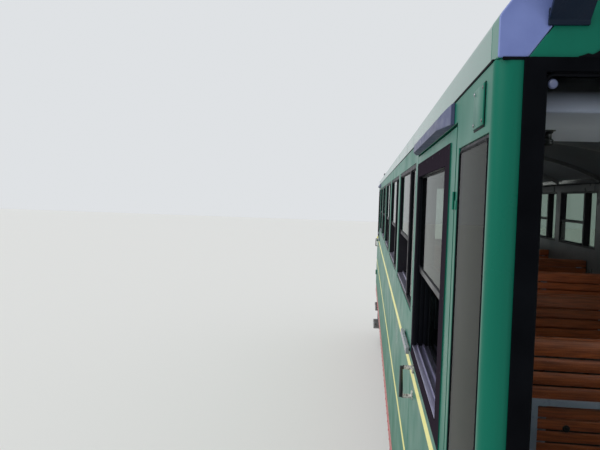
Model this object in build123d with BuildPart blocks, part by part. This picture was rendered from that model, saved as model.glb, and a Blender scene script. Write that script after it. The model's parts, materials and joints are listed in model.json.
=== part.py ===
from build123d import *
import math
import os

os.makedirs("parts", exist_ok=True)

# Rack railway passenger car, in millimetres. +X points uphill, +Y to the car's left and +Z up.
# The origin is under the middle of the car, at the lowest point of the wheel flanges.

# Track and wheels
flange_depth = 28
rail = flange_depth
wheel_radius = 300
axle_z = rail + wheel_radius
back_to_back = 930
wheel_width = 120
flange_width = 32
flange_tip = 14
rim_depth = 52
web_thickness = 26
hub_radius = 105
hub_length = 150
axle_radius = 65
journal_radius = 50
journal_end = 752
running_gap = 0.5
seat_gap = 0.3

# Rack pinion: two blades set half a tooth apart on a sleeve, with a brake drum on each side
rack_pitch = 120
pinion_teeth = 13
pinion_addendum = 30
pinion_dedendum = 36
tooth_foot_flare = 9
tooth_flank_inset = 2
tooth_tip_inset = 17
tooth_sink = 6
blade_thickness = 30
blade_spacing = 46
sleeve_radius = 98
sleeve_length = 520
drum_radius = 185
drum_width = 92
drum_offset = 170

# Bogies
bogie_x = 3200
wheelbase = 1400
side_frame_y = 665
side_frame_width = 50
side_frame_top = 668
side_frame_end = 300
side_frame_drop = 430
side_frame_middle = 430
side_frame_slope = 120
side_frame_clearance = 80
frame_end_rise = 30
frame_end_slope = 60
horn_width = 50
horn_bottom = 262
box_length = 210
box_height = 220
box_inner_y = 640
box_outer_y = 770
box_cover_radius = 80
box_cover_depth = 20
journal_clearance = 4
bolster_length = 340
bolster_top = rail + 700
bolster_depth = 170
leaf_count = 5
leaf_thickness = 10
leaf_width = 60
spring_y = 727
leaf_span = 500
leaf_step = 84
leaf_radius = 560
spring_buckle_half = 35
spring_buckle_rise = 14
spring_buckle_y = 36
spring_shoe = 50
spring_shoe_y = 34
spring_bracket = 40
spring_bracket_y = 38
shoe_gap = 7
shoe_thickness = 42
shoe_height = 210
shoe_width = 72
shoe_offset = 4
shoe_crop = 150
shoe_crop_shift = 30
brake_beam_radius = 24
brake_beam_sink = 6
brake_beam_end = 12
brake_hanger_y = 330
brake_hanger_half = 14
brake_hanger_x = 20
brake_bracket = 50

# Underframe
frame_top = rail + 925
solebar_depth = 160
solebar_flange = 70
solebar_plate = 10
solebar_inset = 6
beam_web = 12
bearer_lift = 30
bearer_pitch = 750
bearer_count = 6
bearer_clearance = 300
frame_bolster_half = 160
headstock_depth = 290
headstock_plate = 30
headstock_taper = 320
centre_sill_y = 220
pivot_radius = 160
pin_radius = 50
pin_depth = 120
pin_root = 5
side_bearer_y = 560
side_bearer = 120

# Body
bay_pitch = 1480
bay_count = 5
door_zone = 1600
half_width = 1200
wall = 80
end_wall = 50
corner_radius = 30
floor_board = 25
gutter_z = rail + 2720
roof_spring = 64
roof_edge_y = 1103
roof_rise = 266
roof_skin = 40
bow_depth = 40
bow_width = 44
end_bow = 400
half_length = (bay_count * bay_pitch + 2 * door_zone) / 2
frame_bottom = frame_top - solebar_depth
bearer_bottom = frame_bottom + bearer_lift
floor_top = frame_top + floor_board

# Windows, as heights above the rail and distances from the car's end
window_sill = rail + 1980
window_top = rail + 2640
window_width = 1320
fixed_pane = 360
mullion = 50
window_rim = 20
upper_pane_bottom = rail + 2280
pane = 6
pane_inset = 14
sash_recess = 49
transom = 22
frame_inset = 4
sill_plate = 6
track_height = 10
track_width = 6
corner_glass_start = 38
corner_glass_end = 395
corner_glass_sill = rail + 1880
corner_glass_top = rail + 2600
corner_rim = 10
corner_inset = 2
end_window_sill = rail + 1760
end_post_y = 400
end_post = 70
end_pane_inset = 6
end_pane = 8
end_lap = 24
corner_lap = 36
end_lap_plate = 8

# Doors
door_start = 440
door_end = 1560
door_gap = 10
door_leaf = 75
door_top = rail + 2655
door_glass_start = 625
door_glass_end = 1480
door_glass_sill = rail + 1880
door_glass_top = rail + 2570
door_pane_bottom = rail + 2210
door_frame_start = 530
door_frame_end = 1545
door_frame_bottom = rail + 1830
door_frame_top = rail + 2625
door_frame_plate = 3
hinge_offset = 12
knuckle_radius = 9
knuckle_height = 42
hinge_strap = 5
hinge_reach = 36
hinge_heights = [rail + 1150, rail + 1750, rail + 2480]
handle_x = 1400
handle_z = rail + 1755
handle_length = 124
handle_standoff = 48
handle_radius = 11
handle_arm_radius = 7
handle_arm_z = 48
handle_foot_radius = 14
handle_foot = 6

# Eaves, hoods and rails
fairing_inset = 2
fairing_face = 70
fairing_top = 140
fairing_shoulder = 45
fairing_brow = 8
fairing_base = 51
fairing_round = 20
cap_length = 60
hood_start = 490
hood_length = 1100
hood_height = 55
hood_reach = 30
hood_bulge = (0.82, 0.62)
hood_taper = 140
hood_tip = 10
hood_lift = 10
grab_rail_length = 400
grab_rail_z = rail + 1830
grab_rail_height = 28
grab_rail_gap = 6
grab_rail_thickness = 14
grab_rail_foot = 9
grab_rail_foot_x = 40

# Benches
bench_first = 1950
bench_count = 5
bench_left = 600
bench_right = -1110
bench_top = rail + 1840
bench_split = 2
back_slats = [80, 58, 58, 58]
slat_gap = 10
slat_thickness = 22
seat_height = 430
seat_depth = 430
seat_overhang = 30
seat_slats = 6
seat_lift = 20
bench_tube = 36
bench_leg_y = 60
panel_top = rail + 1556
panel_lift = 60
panel_angle = 30
panel_slat = 48
panel_slat_thickness = 16

# Ends
coupler_z = rail + 740
coupler_reach = 370
coupler_pin_radius = 18
coupler_pin_back = 50
coupler_plate = 24
coupler_plate_y = 150
coupler_plate_z = 130
coupler_stem_radius = 62
buffer_depth = 110
buffer_width = 340
buffer_height = 240
buffer_round = 70
jaw_gap = 46
jaw_width = 150
jaw_depth = 120
jaw_back = 40
bracket_y = 1088
bracket_z = gutter_z + 62
bracket_half = 33
bracket_plate = 8
bracket_low = 24
bracket_high = 18
bracket_arm = [(bracket_plate, -16), (bracket_plate, 10), (110, 120), (128, 102)]
bracket_socket_x = (92, 152)
bracket_socket_z = (110, 165)
lamp_radius = 85
lamp_depth = 70
lamp_flange = 12
lamp_edge = 12
lamp_y = 820
lamp_z = rail + 1380

# Under the floor
step_half = 340
step_plate = 28
step_strap_x = 30
step_strap_half = 25
step_strap_y = (1150, 1162)
step_treads = [(rail + 340, 1040, 1235), (rail + 640, 1010, 1215)]
tank_radius = 170
tank_length = 1300
tank_dish = 60
tank_y = -640
tank_drop = 220
saddle_x = 25
saddle_y = 120
saddle_sink = 60
battery_x = 650
battery_y = (420, 960)
battery_depth = 400
battery_round = 30

# Inside
locker_depth = 510
locker_z = (rail + 2637, rail + 2730)
locker_near_y = 975
locker_far_y = 830
brake_end = 620
brake_y = -560
brake_column = 900
brake_column_radius = 32
brake_foot_radius = 90
brake_foot = 30
brake_wheel_z = 920
brake_wheel_radius = 180
brake_rim_radius = 15
brake_rim_sides = 8
brake_spoke = 26
brake_spoke_depth = 20
brake_hub_radius = 40
brake_hub = 44
ceiling_lamp_radius = 90
ceiling_lamp_depth = 40

ends = [("rear", -1), ("front", 1)]
sides = [("left", 1), ("right", -1)]
pieces = {}


def block(x, y, z, mode=Mode.ADD):
    """Add or cut a box between a pair of limits along each axis."""
    with Locations(((x[0] + x[1]) / 2, (y[0] + y[1]) / 2, (z[0] + z[1]) / 2)):
        Box(abs(x[1] - x[0]), abs(y[1] - y[0]), abs(z[1] - z[0]), mode=mode)


def around(middle, half):
    """The two limits at the same distance on each side of a middle."""
    return (middle - half, middle + half)


def cross_plane(x):
    """A plane across the car at x, with its own x along +Y and its own y along +Z."""
    return Plane(origin=(x, 0, 0), x_dir=(0, 1, 0), z_dir=(1, 0, 0))


def side_plane(y):
    """A plane along the car at y, with its own x along +X and its own y along +Z."""
    return Plane(origin=(0, y, 0), x_dir=(1, 0, 0), z_dir=(0, -1, 0))


# Underframe: channel solebars, centre sills, cross bearers and bolsters
solebar_y = half_width - solebar_inset
beam_x = (-half_length, half_length)
bearer_places = [i * bearer_pitch for i in range(-bearer_count, bearer_count + 1)]
bearer_x = [x for x in bearer_places if abs(abs(x) - bogie_x) > bearer_clearance]
with BuildPart() as underframe:
    for _, side in sides:
        outer = side * solebar_y
        inner = side * (solebar_y - solebar_flange)
        sill = side * centre_sill_y
        block(beam_x, (outer, side * (solebar_y - solebar_plate)), (frame_bottom, frame_top))
        block(beam_x, (outer, inner), (frame_top - solebar_plate, frame_top))
        block(beam_x, (outer, inner), (frame_bottom, frame_bottom + solebar_plate))
        block(beam_x, around(sill, beam_web / 2), (frame_bottom, frame_top))
        block(beam_x, around(sill, solebar_flange / 2), (frame_bottom, frame_bottom + solebar_plate))
    for x in bearer_x:
        block(around(x, beam_web / 2), (-solebar_y, solebar_y), (bearer_bottom, frame_top))
    for _, end in ends:
        block(around(end * bogie_x, frame_bolster_half), (-solebar_y, solebar_y), (frame_bottom, frame_top))
pieces["underframe"] = underframe

# Headstocks: a tapered plate across each end of the underframe
with BuildPart() as headstocks:
    with BuildSketch(cross_plane(half_length)):
        with BuildLine():
            Polyline(
                (-solebar_y, frame_top),
                (solebar_y, frame_top),
                (solebar_y, frame_bottom),
                (solebar_y - headstock_taper, frame_top - headstock_depth),
                (headstock_taper - solebar_y, frame_top - headstock_depth),
                (-solebar_y, frame_bottom),
                close=True,
            )
        make_face()
    extrude(amount=headstock_plate)
    mirror(about=Plane.YZ)
pieces["headstocks"] = headstocks

# Centre pivots: a flanged plate with a kingpin, and a side bearer on each side of it
with BuildPart() as centre_pivots:
    for _, end in ends:
        x = end * bogie_x
        with Locations((x, 0, (frame_bottom + bolster_top + seat_gap) / 2)):
            Cylinder(pivot_radius, frame_bottom - bolster_top - seat_gap)
        with Locations((x, 0, bolster_top - pin_depth / 2 + pin_root)):
            Cylinder(pin_radius, pin_depth + 2 * pin_root)
        for _, side in sides:
            block(
                around(x, side_bearer / 2),
                around(side * side_bearer_y, side_bearer / 2),
                (bolster_top + seat_gap, frame_bottom),
            )
pieces["centre_pivots"] = centre_pivots

# Floor boards between the side and end walls
inner_y = half_width - wall
inner_x = half_length - end_wall
with BuildPart() as floor:
    block((-inner_x, inner_x), (-inner_y, inner_y), (frame_top, floor_top))
pieces["floor"] = floor

# Side openings: middle x, width, bottom, top
bay_start = [-half_length + door_zone + i * bay_pitch for i in range(bay_count)]
window_x = [x + bay_pitch / 2 for x in bay_start]
window_middle_z = (window_sill + window_top) / 2
window_height = window_top - window_sill
door_opening = (door_start - door_gap, door_end + door_gap, frame_top, door_top + door_gap)
corner_opening = (corner_glass_start, corner_glass_end, corner_glass_sill, corner_glass_top)
side_openings = [(x, window_width, window_sill, window_top) for x in window_x]
for _, end in ends:
    for start, stop, low, high in (door_opening, corner_opening):
        side_openings.append((end * (half_length - (start + stop) / 2), stop - start, low, high))

with BuildPart() as side_wall_left:
    with BuildSketch(side_plane(half_width)):
        with Locations((0, (frame_top + gutter_z) / 2)):
            Rectangle(2 * half_length, gutter_z - frame_top)
        for x, width, low, high in side_openings:
            with Locations((x, (low + high) / 2)):
                Rectangle(width, high - low, mode=Mode.SUBTRACT)
    extrude(amount=wall)
    corners = side_wall_left.edges().filter_by(Axis.Z).group_by(Axis.Y)[-1]
    fillet([corners.sort_by(Axis.X)[0], corners.sort_by(Axis.X)[-1]], radius=corner_radius)
pieces["side_wall_left"] = side_wall_left
with BuildPart() as side_wall_right:
    mirror(side_wall_left.part, about=Plane.XZ)
pieces["side_wall_right"] = side_wall_right

# The arch of the roof: its radius, and its height at a given distance from the middle
arch_z = gutter_z + roof_spring
arch_radius = (roof_edge_y**2 + roof_rise**2) / (2 * roof_rise)
crown_z = arch_z + roof_rise


def arch(y, offset=0):
    """Height of an arc parallel to the roof's underside, at y."""
    radius = arch_radius + offset
    return crown_z - arch_radius + math.sqrt(radius**2 - y**2)


def arch_band(offset):
    """Close an outline between the roof's underside and the arc at an offset from it."""
    edge_z = arch(roof_edge_y, offset)
    ThreePointArc((-roof_edge_y, arch_z), (0, crown_z), (roof_edge_y, arch_z))
    Line((roof_edge_y, arch_z), (roof_edge_y, edge_z))
    ThreePointArc((roof_edge_y, edge_z), (0, crown_z + offset), (-roof_edge_y, edge_z))
    Line((-roof_edge_y, edge_z), (-roof_edge_y, arch_z))


# End window openings: low y, high y, lap of the frame on the low side, lap on the high side
post_inner = end_post_y - end_post / 2
post_outer = end_post_y + end_post / 2
end_openings = [
    (-inner_y, -post_outer, corner_lap, end_lap),
    (-post_inner, post_inner, end_lap, end_lap),
    (post_outer, inner_y, end_lap, corner_lap),
]
end_glass_top = gutter_z - end_lap
end_glass_height = end_glass_top - end_window_sill
end_glass_middle = (end_window_sill + end_glass_top) / 2

# End walls, with two posts between three window openings, under the roof's arch
shoulder_y = half_width - fairing_base
with BuildPart() as end_wall_front:
    with BuildSketch(cross_plane(inner_x)):
        with BuildLine():
            Polyline(
                (-roof_edge_y, arch_z),
                (-shoulder_y, gutter_z),
                (-inner_y, gutter_z),
                (-inner_y, frame_top),
                (inner_y, frame_top),
                (inner_y, gutter_z),
                (shoulder_y, gutter_z),
                (roof_edge_y, arch_z),
            )
            ThreePointArc((roof_edge_y, arch_z), (0, crown_z), (-roof_edge_y, arch_z))
        make_face()
        for low, high, _, _ in end_openings:
            with Locations(((low + high) / 2, end_glass_middle)):
                Rectangle(high - low, end_glass_height, mode=Mode.SUBTRACT)
    extrude(amount=end_wall)
with BuildPart() as end_wall_rear:
    mirror(end_wall_front.part, about=Plane.YZ)
pieces["end_wall_front"] = end_wall_front
pieces["end_wall_rear"] = end_wall_rear

# Roof skin, and a bow under it at each post and near each end
with BuildPart() as roof:
    with BuildSketch(cross_plane(-half_length)):
        with BuildLine():
            arch_band(roof_skin)
        make_face()
    extrude(amount=2 * half_length)
pieces["roof"] = roof
post_x = bay_start + [bay_start[-1] + bay_pitch]
bow_x = [end_bow - half_length] + post_x + [half_length - end_bow]
with BuildPart() as roof_bows:
    for x in bow_x:
        with BuildSketch(cross_plane(x - bow_width / 2)):
            with BuildLine():
                arch_band(-bow_depth)
            make_face()
        extrude(amount=bow_width)
pieces["roof_bows"] = roof_bows

# Eaves fairings on the side walls' top edges, with a moulded cap at each end
fairing_y = half_width - fairing_inset
with BuildSketch() as fairing_section:
    with BuildLine():
        Polyline(
            (fairing_y, gutter_z),
            (fairing_y, gutter_z + fairing_face),
            (fairing_y - fairing_shoulder, gutter_z + fairing_top - fairing_brow),
            (roof_edge_y, gutter_z + fairing_top),
            (roof_edge_y, arch_z),
            (shoulder_y, gutter_z),
            close=True,
        )
    make_face()
    fillet(fairing_section.vertices().group_by(Axis.X)[-1].sort_by(Axis.Y)[-1], radius=fairing_round)
    mirror(about=Plane.YZ)
with BuildPart() as eaves_fairings:
    with BuildSketch(cross_plane(cap_length - half_length)):
        add(fairing_section.sketch)
    extrude(amount=2 * (half_length - cap_length))
pieces["eaves_fairings"] = eaves_fairings
with BuildPart() as eaves_caps:
    for x in (-half_length, half_length - cap_length):
        with BuildSketch(cross_plane(x)):
            add(fairing_section.sketch)
        extrude(amount=cap_length)
pieces["eaves_caps"] = eaves_caps

# Side window frames: a rim with a mullion, and the rail between the upper pane and the recessed sash
frame_y = half_width - frame_inset
sash_y = half_width - pane_inset - sash_recess
window_start = [x - window_width / 2 for x in window_x]
sashes = [(x + window_rim + fixed_pane + mullion, x + window_width - window_rim) for x in window_start]
corner_width = corner_glass_end - corner_glass_start
corner_height = corner_glass_top - corner_glass_sill
with BuildPart() as window_frames_left:
    for x, sash in zip(window_start, sashes):
        with BuildSketch(side_plane(frame_y)):
            with Locations((x + window_width / 2, window_middle_z)):
                Rectangle(window_width, window_height)
            with Locations((x + window_rim + fixed_pane / 2, window_middle_z)):
                Rectangle(fixed_pane, window_height - 2 * window_rim, mode=Mode.SUBTRACT)
            with Locations((sum(sash) / 2, window_middle_z)):
                Rectangle(sash[1] - sash[0], window_height - 2 * window_rim, mode=Mode.SUBTRACT)
        extrude(amount=wall - frame_inset)
        transom_y = (sash_y - pane, half_width - pane_inset)
        block(sash, transom_y, (upper_pane_bottom - transom, upper_pane_bottom))
    for _, end in ends:
        x = end * (half_length - (corner_glass_start + corner_glass_end) / 2)
        with BuildSketch(side_plane(frame_y)):
            with Locations((x, (corner_glass_sill + corner_glass_top) / 2)):
                Rectangle(corner_width, corner_height)
                Rectangle(corner_width - 2 * corner_rim, corner_height - 2 * corner_rim, mode=Mode.SUBTRACT)
        extrude(amount=wall - frame_inset)
with BuildPart() as window_frames_right:
    mirror(window_frames_left.part, about=Plane.XZ)
pieces["window_frames_left"] = window_frames_left
pieces["window_frames_right"] = window_frames_right

# Side glass: a narrow fixed pane, an upper pane and a recessed lower pane in each bay, flush at the corners
upper_y = (half_width - pane_inset - pane, half_width - pane_inset)
lower_y = (sash_y - pane, sash_y)
flush_y = (half_width - corner_inset - pane, half_width - corner_inset)
glass_low = window_sill + window_rim
glass_high = window_top - window_rim
with BuildPart() as glass_left:
    for x, sash in zip(window_start, sashes):
        block((x + window_rim, x + window_rim + fixed_pane), upper_y, (glass_low, glass_high))
        block(sash, upper_y, (upper_pane_bottom, glass_high))
        block(sash, lower_y, (glass_low, upper_pane_bottom - transom))
    for _, end in ends:
        near = end * (half_length - corner_glass_start - corner_rim)
        far = end * (half_length - corner_glass_end + corner_rim)
        block((near, far), flush_y, (corner_glass_sill + corner_rim, corner_glass_top - corner_rim))
with BuildPart() as glass_right:
    mirror(glass_left.part, about=Plane.XZ)
pieces["glass_left"] = glass_left
pieces["glass_right"] = glass_right

# Metal sills under the recessed sashes, each with a raised track
track_y = half_width - pane_inset - sash_recess / 2
with BuildPart() as window_sills:
    for sash in sashes:
        block(sash, (sash_y, frame_y), (glass_low, glass_low + sill_plate))
        block(sash, around(track_y, track_width / 2), (glass_low, glass_low + sill_plate + track_height))
    mirror(about=Plane.XZ)
pieces["window_sills"] = window_sills

# End window frames: plates lapped over the posts and panels round each pane
with BuildPart() as end_window_frames:
    with BuildSketch(cross_plane(half_length)):
        for low, high, lap_low, lap_high in end_openings:
            with Locations(((low - lap_low + high + lap_high) / 2, end_glass_middle)):
                Rectangle(high - low + lap_low + lap_high, end_glass_height + 2 * end_lap)
        for low, high, _, _ in end_openings:
            with Locations(((low + high) / 2, end_glass_middle)):
                Rectangle(high - low, end_glass_height, mode=Mode.SUBTRACT)
    extrude(amount=end_lap_plate)
    mirror(about=Plane.YZ)
pieces["end_window_frames"] = end_window_frames
end_pane_x = (half_length - end_pane_inset - end_pane, half_length - end_pane_inset)
with BuildPart() as end_glass:
    for low, high, _, _ in end_openings:
        block(end_pane_x, (low, high), (end_window_sill, end_glass_top))
    mirror(about=Plane.YZ)
pieces["end_glass"] = end_glass

# Doors: the leaf with its raised window frame, cross rail and knuckles, its two panes and its pull handle
hinge_x = half_length - door_start + door_gap / 2
hinge_y = half_width + hinge_offset
leaf_bottom = frame_top + door_gap
leaf_x = (half_length - door_end, half_length - door_start)
glass_x = (half_length - door_glass_end, half_length - door_glass_start)
surround_x = (half_length - door_frame_end, half_length - door_frame_start)
strap_y = (half_width, half_width + hinge_strap)
with BuildPart() as door:
    block(leaf_x, (half_width - door_leaf, half_width), (leaf_bottom, door_top))
    block(surround_x, (half_width, half_width + door_frame_plate), (door_frame_bottom, door_frame_top))
    through = (half_width - door_leaf, half_width + door_frame_plate)
    block(glass_x, through, (door_glass_sill, door_glass_top), mode=Mode.SUBTRACT)
    block(glass_x, (lower_y[0], upper_y[1]), (door_pane_bottom - transom, door_pane_bottom))
    for z in hinge_heights:
        low = z + seat_gap / 2
        with Locations((hinge_x, hinge_y, low + knuckle_height / 2)):
            Cylinder(knuckle_radius, knuckle_height)
        block((hinge_x - hinge_reach, hinge_x), strap_y, (low, low + knuckle_height))
with BuildPart() as door_glass:
    block(glass_x, upper_y, (door_pane_bottom, door_glass_top))
    block(glass_x, lower_y, (door_glass_sill, door_pane_bottom - transom))
with BuildPart() as door_handle:
    x = half_length - handle_x
    with Locations((x, half_width + handle_standoff, handle_z)):
        Cylinder(handle_radius, handle_length)
    for z in around(handle_z, handle_arm_z):
        with Locations((x, half_width + handle_standoff / 2, z)):
            Cylinder(handle_arm_radius, handle_standoff, rotation=(90, 0, 0))
        with Locations((x, half_width + handle_foot / 2, z)):
            Cylinder(handle_foot_radius, handle_foot, rotation=(90, 0, 0))
with BuildPart() as hinge_fixed:
    for z in hinge_heights:
        high = z - seat_gap / 2
        with Locations((hinge_x, hinge_y, high - knuckle_height / 2)):
            Cylinder(knuckle_radius, knuckle_height)
        block((hinge_x, hinge_x + hinge_reach), strap_y, (high - knuckle_height, high))

for end_name, end in ends:
    for side_name, side in sides:
        for name, piece in (("door", door), ("door_glass", door_glass), ("door_handle", door_handle)):
            with BuildPart() as placed:
                add(piece.part)
                if end < 0:
                    mirror(about=Plane.YZ, mode=Mode.REPLACE)
                if side < 0:
                    mirror(about=Plane.XZ, mode=Mode.REPLACE)
            pieces[f"{name}_{side_name}_{end_name}"] = placed
with BuildPart() as door_hinges:
    add(hinge_fixed.part)
    mirror(about=Plane.YZ)
    mirror(about=Plane.XZ)
pieces["door_hinges"] = door_hinges

# Rain hoods: a bulged section whose ends taper towards the wall, above each door
hood_bottom = door_top + hood_lift
hood_x = (half_length - hood_start - hood_length, half_length - hood_start)
hood_top_point = (half_width, hood_bottom + hood_height)
hood_lip = (half_width + hood_reach, hood_bottom)
hood_belly = (half_width + hood_bulge[0] * hood_reach, hood_bottom + hood_bulge[1] * hood_height)
with BuildPart() as door_hoods:
    with BuildSketch(cross_plane(hood_x[0])):
        with BuildLine():
            Polyline(hood_top_point, (half_width, hood_bottom), hood_lip)
            ThreePointArc(hood_lip, hood_belly, hood_top_point)
        make_face()
    extrude(amount=hood_length)
    with BuildSketch(Plane.XY.offset(hood_bottom)):
        with BuildLine():
            Polyline(
                (hood_x[0], half_width),
                (hood_x[1], half_width),
                (hood_x[1], half_width + hood_tip),
                (hood_x[1] - hood_taper, half_width + hood_reach),
                (hood_x[0] + hood_taper, half_width + hood_reach),
                (hood_x[0], half_width + hood_tip),
                close=True,
            )
        make_face()
    extrude(amount=hood_height, mode=Mode.INTERSECT)
    mirror(about=Plane.YZ)
    mirror(about=Plane.XZ)
pieces["door_hoods"] = door_hoods

# Grab rails beside the doors: a flat bar on two short feet
grab_x = (half_length - door_zone - grab_rail_length, half_length - door_zone)
bar_y = (half_width + grab_rail_gap, half_width + grab_rail_gap + grab_rail_thickness)
with BuildPart() as grab_rails:
    block(grab_x, bar_y, around(grab_rail_z, grab_rail_height / 2))
    for x in (grab_x[0] + grab_rail_foot_x, grab_x[1] - grab_rail_foot_x):
        block(around(x, grab_rail_foot), (half_width, bar_y[0]), around(grab_rail_z, grab_rail_foot))
    mirror(about=Plane.YZ)
    mirror(about=Plane.XZ)
pieces["grab_rails"] = grab_rails

# Couplers: a stem with a rounded buffing head that has a jaw and a bore for the coupling pin
for end_name, end in ends:
    face = end * (half_length + headstock_plate)
    tip = face + end * coupler_reach
    head = tip - end * buffer_depth
    with BuildPart() as coupler:
        block(
            (face, face + end * coupler_plate),
            (-coupler_plate_y, coupler_plate_y),
            around(coupler_z, coupler_plate_z),
        )
        with Locations(((face + head) / 2, 0, coupler_z)):
            Cylinder(coupler_stem_radius, abs(head - face), rotation=(0, 90, 0))
        block((head, tip), (-buffer_width / 2, buffer_width / 2), around(coupler_z, buffer_height / 2))
        rounded = coupler.edges().filter_by(Axis.Z).filter_by(lambda edge: abs(edge.center().X - tip) < 1)
        fillet(rounded, radius=buffer_round)
        with Locations((tip - end * jaw_back, 0, coupler_z)):
            Box(jaw_depth, jaw_width, jaw_gap, mode=Mode.SUBTRACT)
        with Locations((tip - end * coupler_pin_back, 0, coupler_z)):
            Cylinder(coupler_pin_radius, buffer_height, mode=Mode.SUBTRACT)
    pieces[f"coupler_{end_name}"] = coupler

# Lamp brackets on the end walls' heads: a foot plate, an arm that rises outwards and a socket on it
bracket_foot_z = (bracket_z - bracket_low, bracket_z + bracket_high)
with BuildPart() as lamp_brackets:
    for _, side in sides:
        y = side * bracket_y
        block((half_length, half_length + bracket_plate), around(y, bracket_half), bracket_foot_z)
        with BuildSketch(side_plane(y + bracket_half)):
            with BuildLine():
                Polyline(*[(half_length + dx, bracket_z + dz) for dx, dz in bracket_arm], close=True)
            make_face()
        extrude(amount=2 * bracket_half)
        block(
            [half_length + dx for dx in bracket_socket_x],
            around(y, bracket_half),
            [bracket_z + dz for dz in bracket_socket_z],
        )
    mirror(about=Plane.YZ)
pieces["lamp_brackets"] = lamp_brackets

# End lamps: a flange on the wall and a housing with a bevelled rim
with BuildPart() as end_lamps:
    for radius, depth in ((lamp_radius + lamp_flange, lamp_flange), (lamp_radius, lamp_depth)):
        with BuildSketch(cross_plane(half_length)):
            with Locations((lamp_y, lamp_z), (-lamp_y, lamp_z)):
                Circle(radius)
        extrude(amount=depth)
    chamfer(end_lamps.edges().filter_by(GeomType.CIRCLE).group_by(Axis.X)[-1], length=lamp_edge)
    mirror(about=Plane.YZ)
pieces["end_lamps"] = end_lamps

# Steps under each door: treads, as their top, inner and outer edges, on two straps
step_x = half_length - (door_start + door_end) / 2
strap_bottom = step_treads[0][0] - step_plate
with BuildPart() as door_steps:
    for z, inner, outer in step_treads:
        block(around(step_x, step_half), (inner, outer), (z - step_plate, z))
    for x in around(step_x, step_half - step_strap_x):
        block(around(x, step_strap_half), step_strap_y, (strap_bottom, frame_bottom))
    mirror(about=Plane.YZ)
    mirror(about=Plane.XZ)
pieces["door_steps"] = door_steps

# Air tank with dished ends, turned about its own axis, on two saddles under the cross bearers
tank_z = bearer_bottom - tank_drop
tank_x = -bearer_pitch / 2
tank_half = tank_length / 2
dish_radius = (tank_radius**2 + tank_dish**2) / (2 * tank_dish)
dish_rise = dish_radius - math.sqrt(dish_radius**2 - (tank_radius / 2) ** 2)
with BuildPart() as air_tank:
    with BuildSketch(Plane(origin=(tank_x, tank_y, tank_z))):
        with BuildLine():
            straight = tank_half - tank_dish
            Line((-straight, tank_radius), (straight, tank_radius))
            ThreePointArc((straight, tank_radius), (tank_half - dish_rise, tank_radius / 2), (tank_half, 0))
            Line((tank_half, 0), (-tank_half, 0))
            ThreePointArc((-tank_half, 0), (dish_rise - tank_half, tank_radius / 2), (-straight, tank_radius))
        make_face()
    revolve(axis=Axis((tank_x, tank_y, tank_z), (1, 0, 0)))
    for x in (-bearer_pitch, 0):
        block(around(x, saddle_x), around(tank_y, saddle_y), (tank_z + saddle_sink, bearer_bottom))
pieces["air_tank"] = air_tank
with BuildPart() as battery_box:
    block((-battery_x, battery_x), battery_y, (bearer_bottom - battery_depth, bearer_bottom))
    fillet(battery_box.edges().filter_by(Axis.X).group_by(Axis.Z)[0], radius=battery_round)
pieces["battery_box"] = battery_box

# Benches: slatted seats and backs along Y, one way at the ends and back to back between them
bench_x = [-half_length + bench_first + i * bay_pitch for i in range(bench_count)]
bench_faces = [(x, 1) for x in bench_x[:-1]] + [(x, -1) for x in bench_x[1:]]
bench_y = (bench_right, bench_left)
seat_z = floor_top + seat_height
seat_pitch = seat_depth / seat_slats
panel_backs = [(bench_x[0] + bench_split, -1), (bench_x[-1] - bench_split, 1)]
panel_low = floor_top + panel_lift
slat_rows = int((panel_top - panel_low - 2 * panel_angle) / (panel_slat + slat_gap))
with BuildPart() as bench_slats:
    for x, face in bench_faces:
        z = bench_top
        for height in back_slats:
            block((x + face * bench_tube, x + face * (bench_tube + slat_thickness)), bench_y, (z - height, z))
            z -= height + slat_gap
        for i in range(seat_slats):
            front = x + face * (bench_tube + slat_thickness + seat_lift + i * seat_pitch)
            block((front, front + face * (seat_pitch - slat_gap)), bench_y, (seat_z, seat_z + slat_thickness))
    for x, face in panel_backs:
        for i in range(slat_rows):
            z = panel_top - panel_angle - slat_gap - i * (panel_slat + slat_gap)
            block(
                (x, x + face * panel_slat_thickness),
                (bench_right + panel_angle, bench_left - panel_angle),
                (z - panel_slat, z),
            )
pieces["bench_slats"] = bench_slats

# Bench frames: uprights, seat bearers and legs, and an angle frame round the panel behind each end bench
bench_leg_places = (bench_left - bench_leg_y, (bench_left + bench_right) / 2, bench_right + bench_leg_y)
half_tube = bench_tube / 2
with BuildPart() as bench_frames:
    for x, face in bench_faces:
        for y in bench_leg_places:
            tube_y = around(y, half_tube)
            block((x + face * bench_split, x + face * bench_tube), tube_y, (floor_top, bench_top - slat_gap))
            bearer_end = x + face * (bench_tube + seat_depth + seat_overhang)
            block((x + face * bench_tube, bearer_end), tube_y, (seat_z - bench_tube, seat_z))
            leg = x + face * (bench_tube + seat_depth - seat_lift)
            block(around(leg, half_tube), tube_y, (floor_top, seat_z - bench_tube))
    for x, face in panel_backs:
        angle_x = (x, x + face * panel_angle)
        block(angle_x, bench_y, (panel_top - panel_angle, panel_top))
        block(angle_x, bench_y, (panel_low, panel_low + panel_angle))
        block(angle_x, (bench_left - panel_angle, bench_left), (panel_low, panel_top))
        block(angle_x, (bench_right, bench_right + panel_angle), (panel_low, panel_top))
pieces["bench_frames"] = bench_frames

# Corner locker at the rear end, with a slanted side, under the roof
with BuildPart() as locker:
    with BuildSketch(Plane.XY.offset(locker_z[0])):
        with BuildLine():
            Polyline(
                (-inner_x, inner_y),
                (-inner_x, locker_near_y),
                (locker_depth - inner_x, locker_far_y),
                (locker_depth - inner_x, inner_y),
                close=True,
            )
        make_face()
    extrude(amount=locker_z[1] - locker_z[0])
pieces["locker"] = locker

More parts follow.
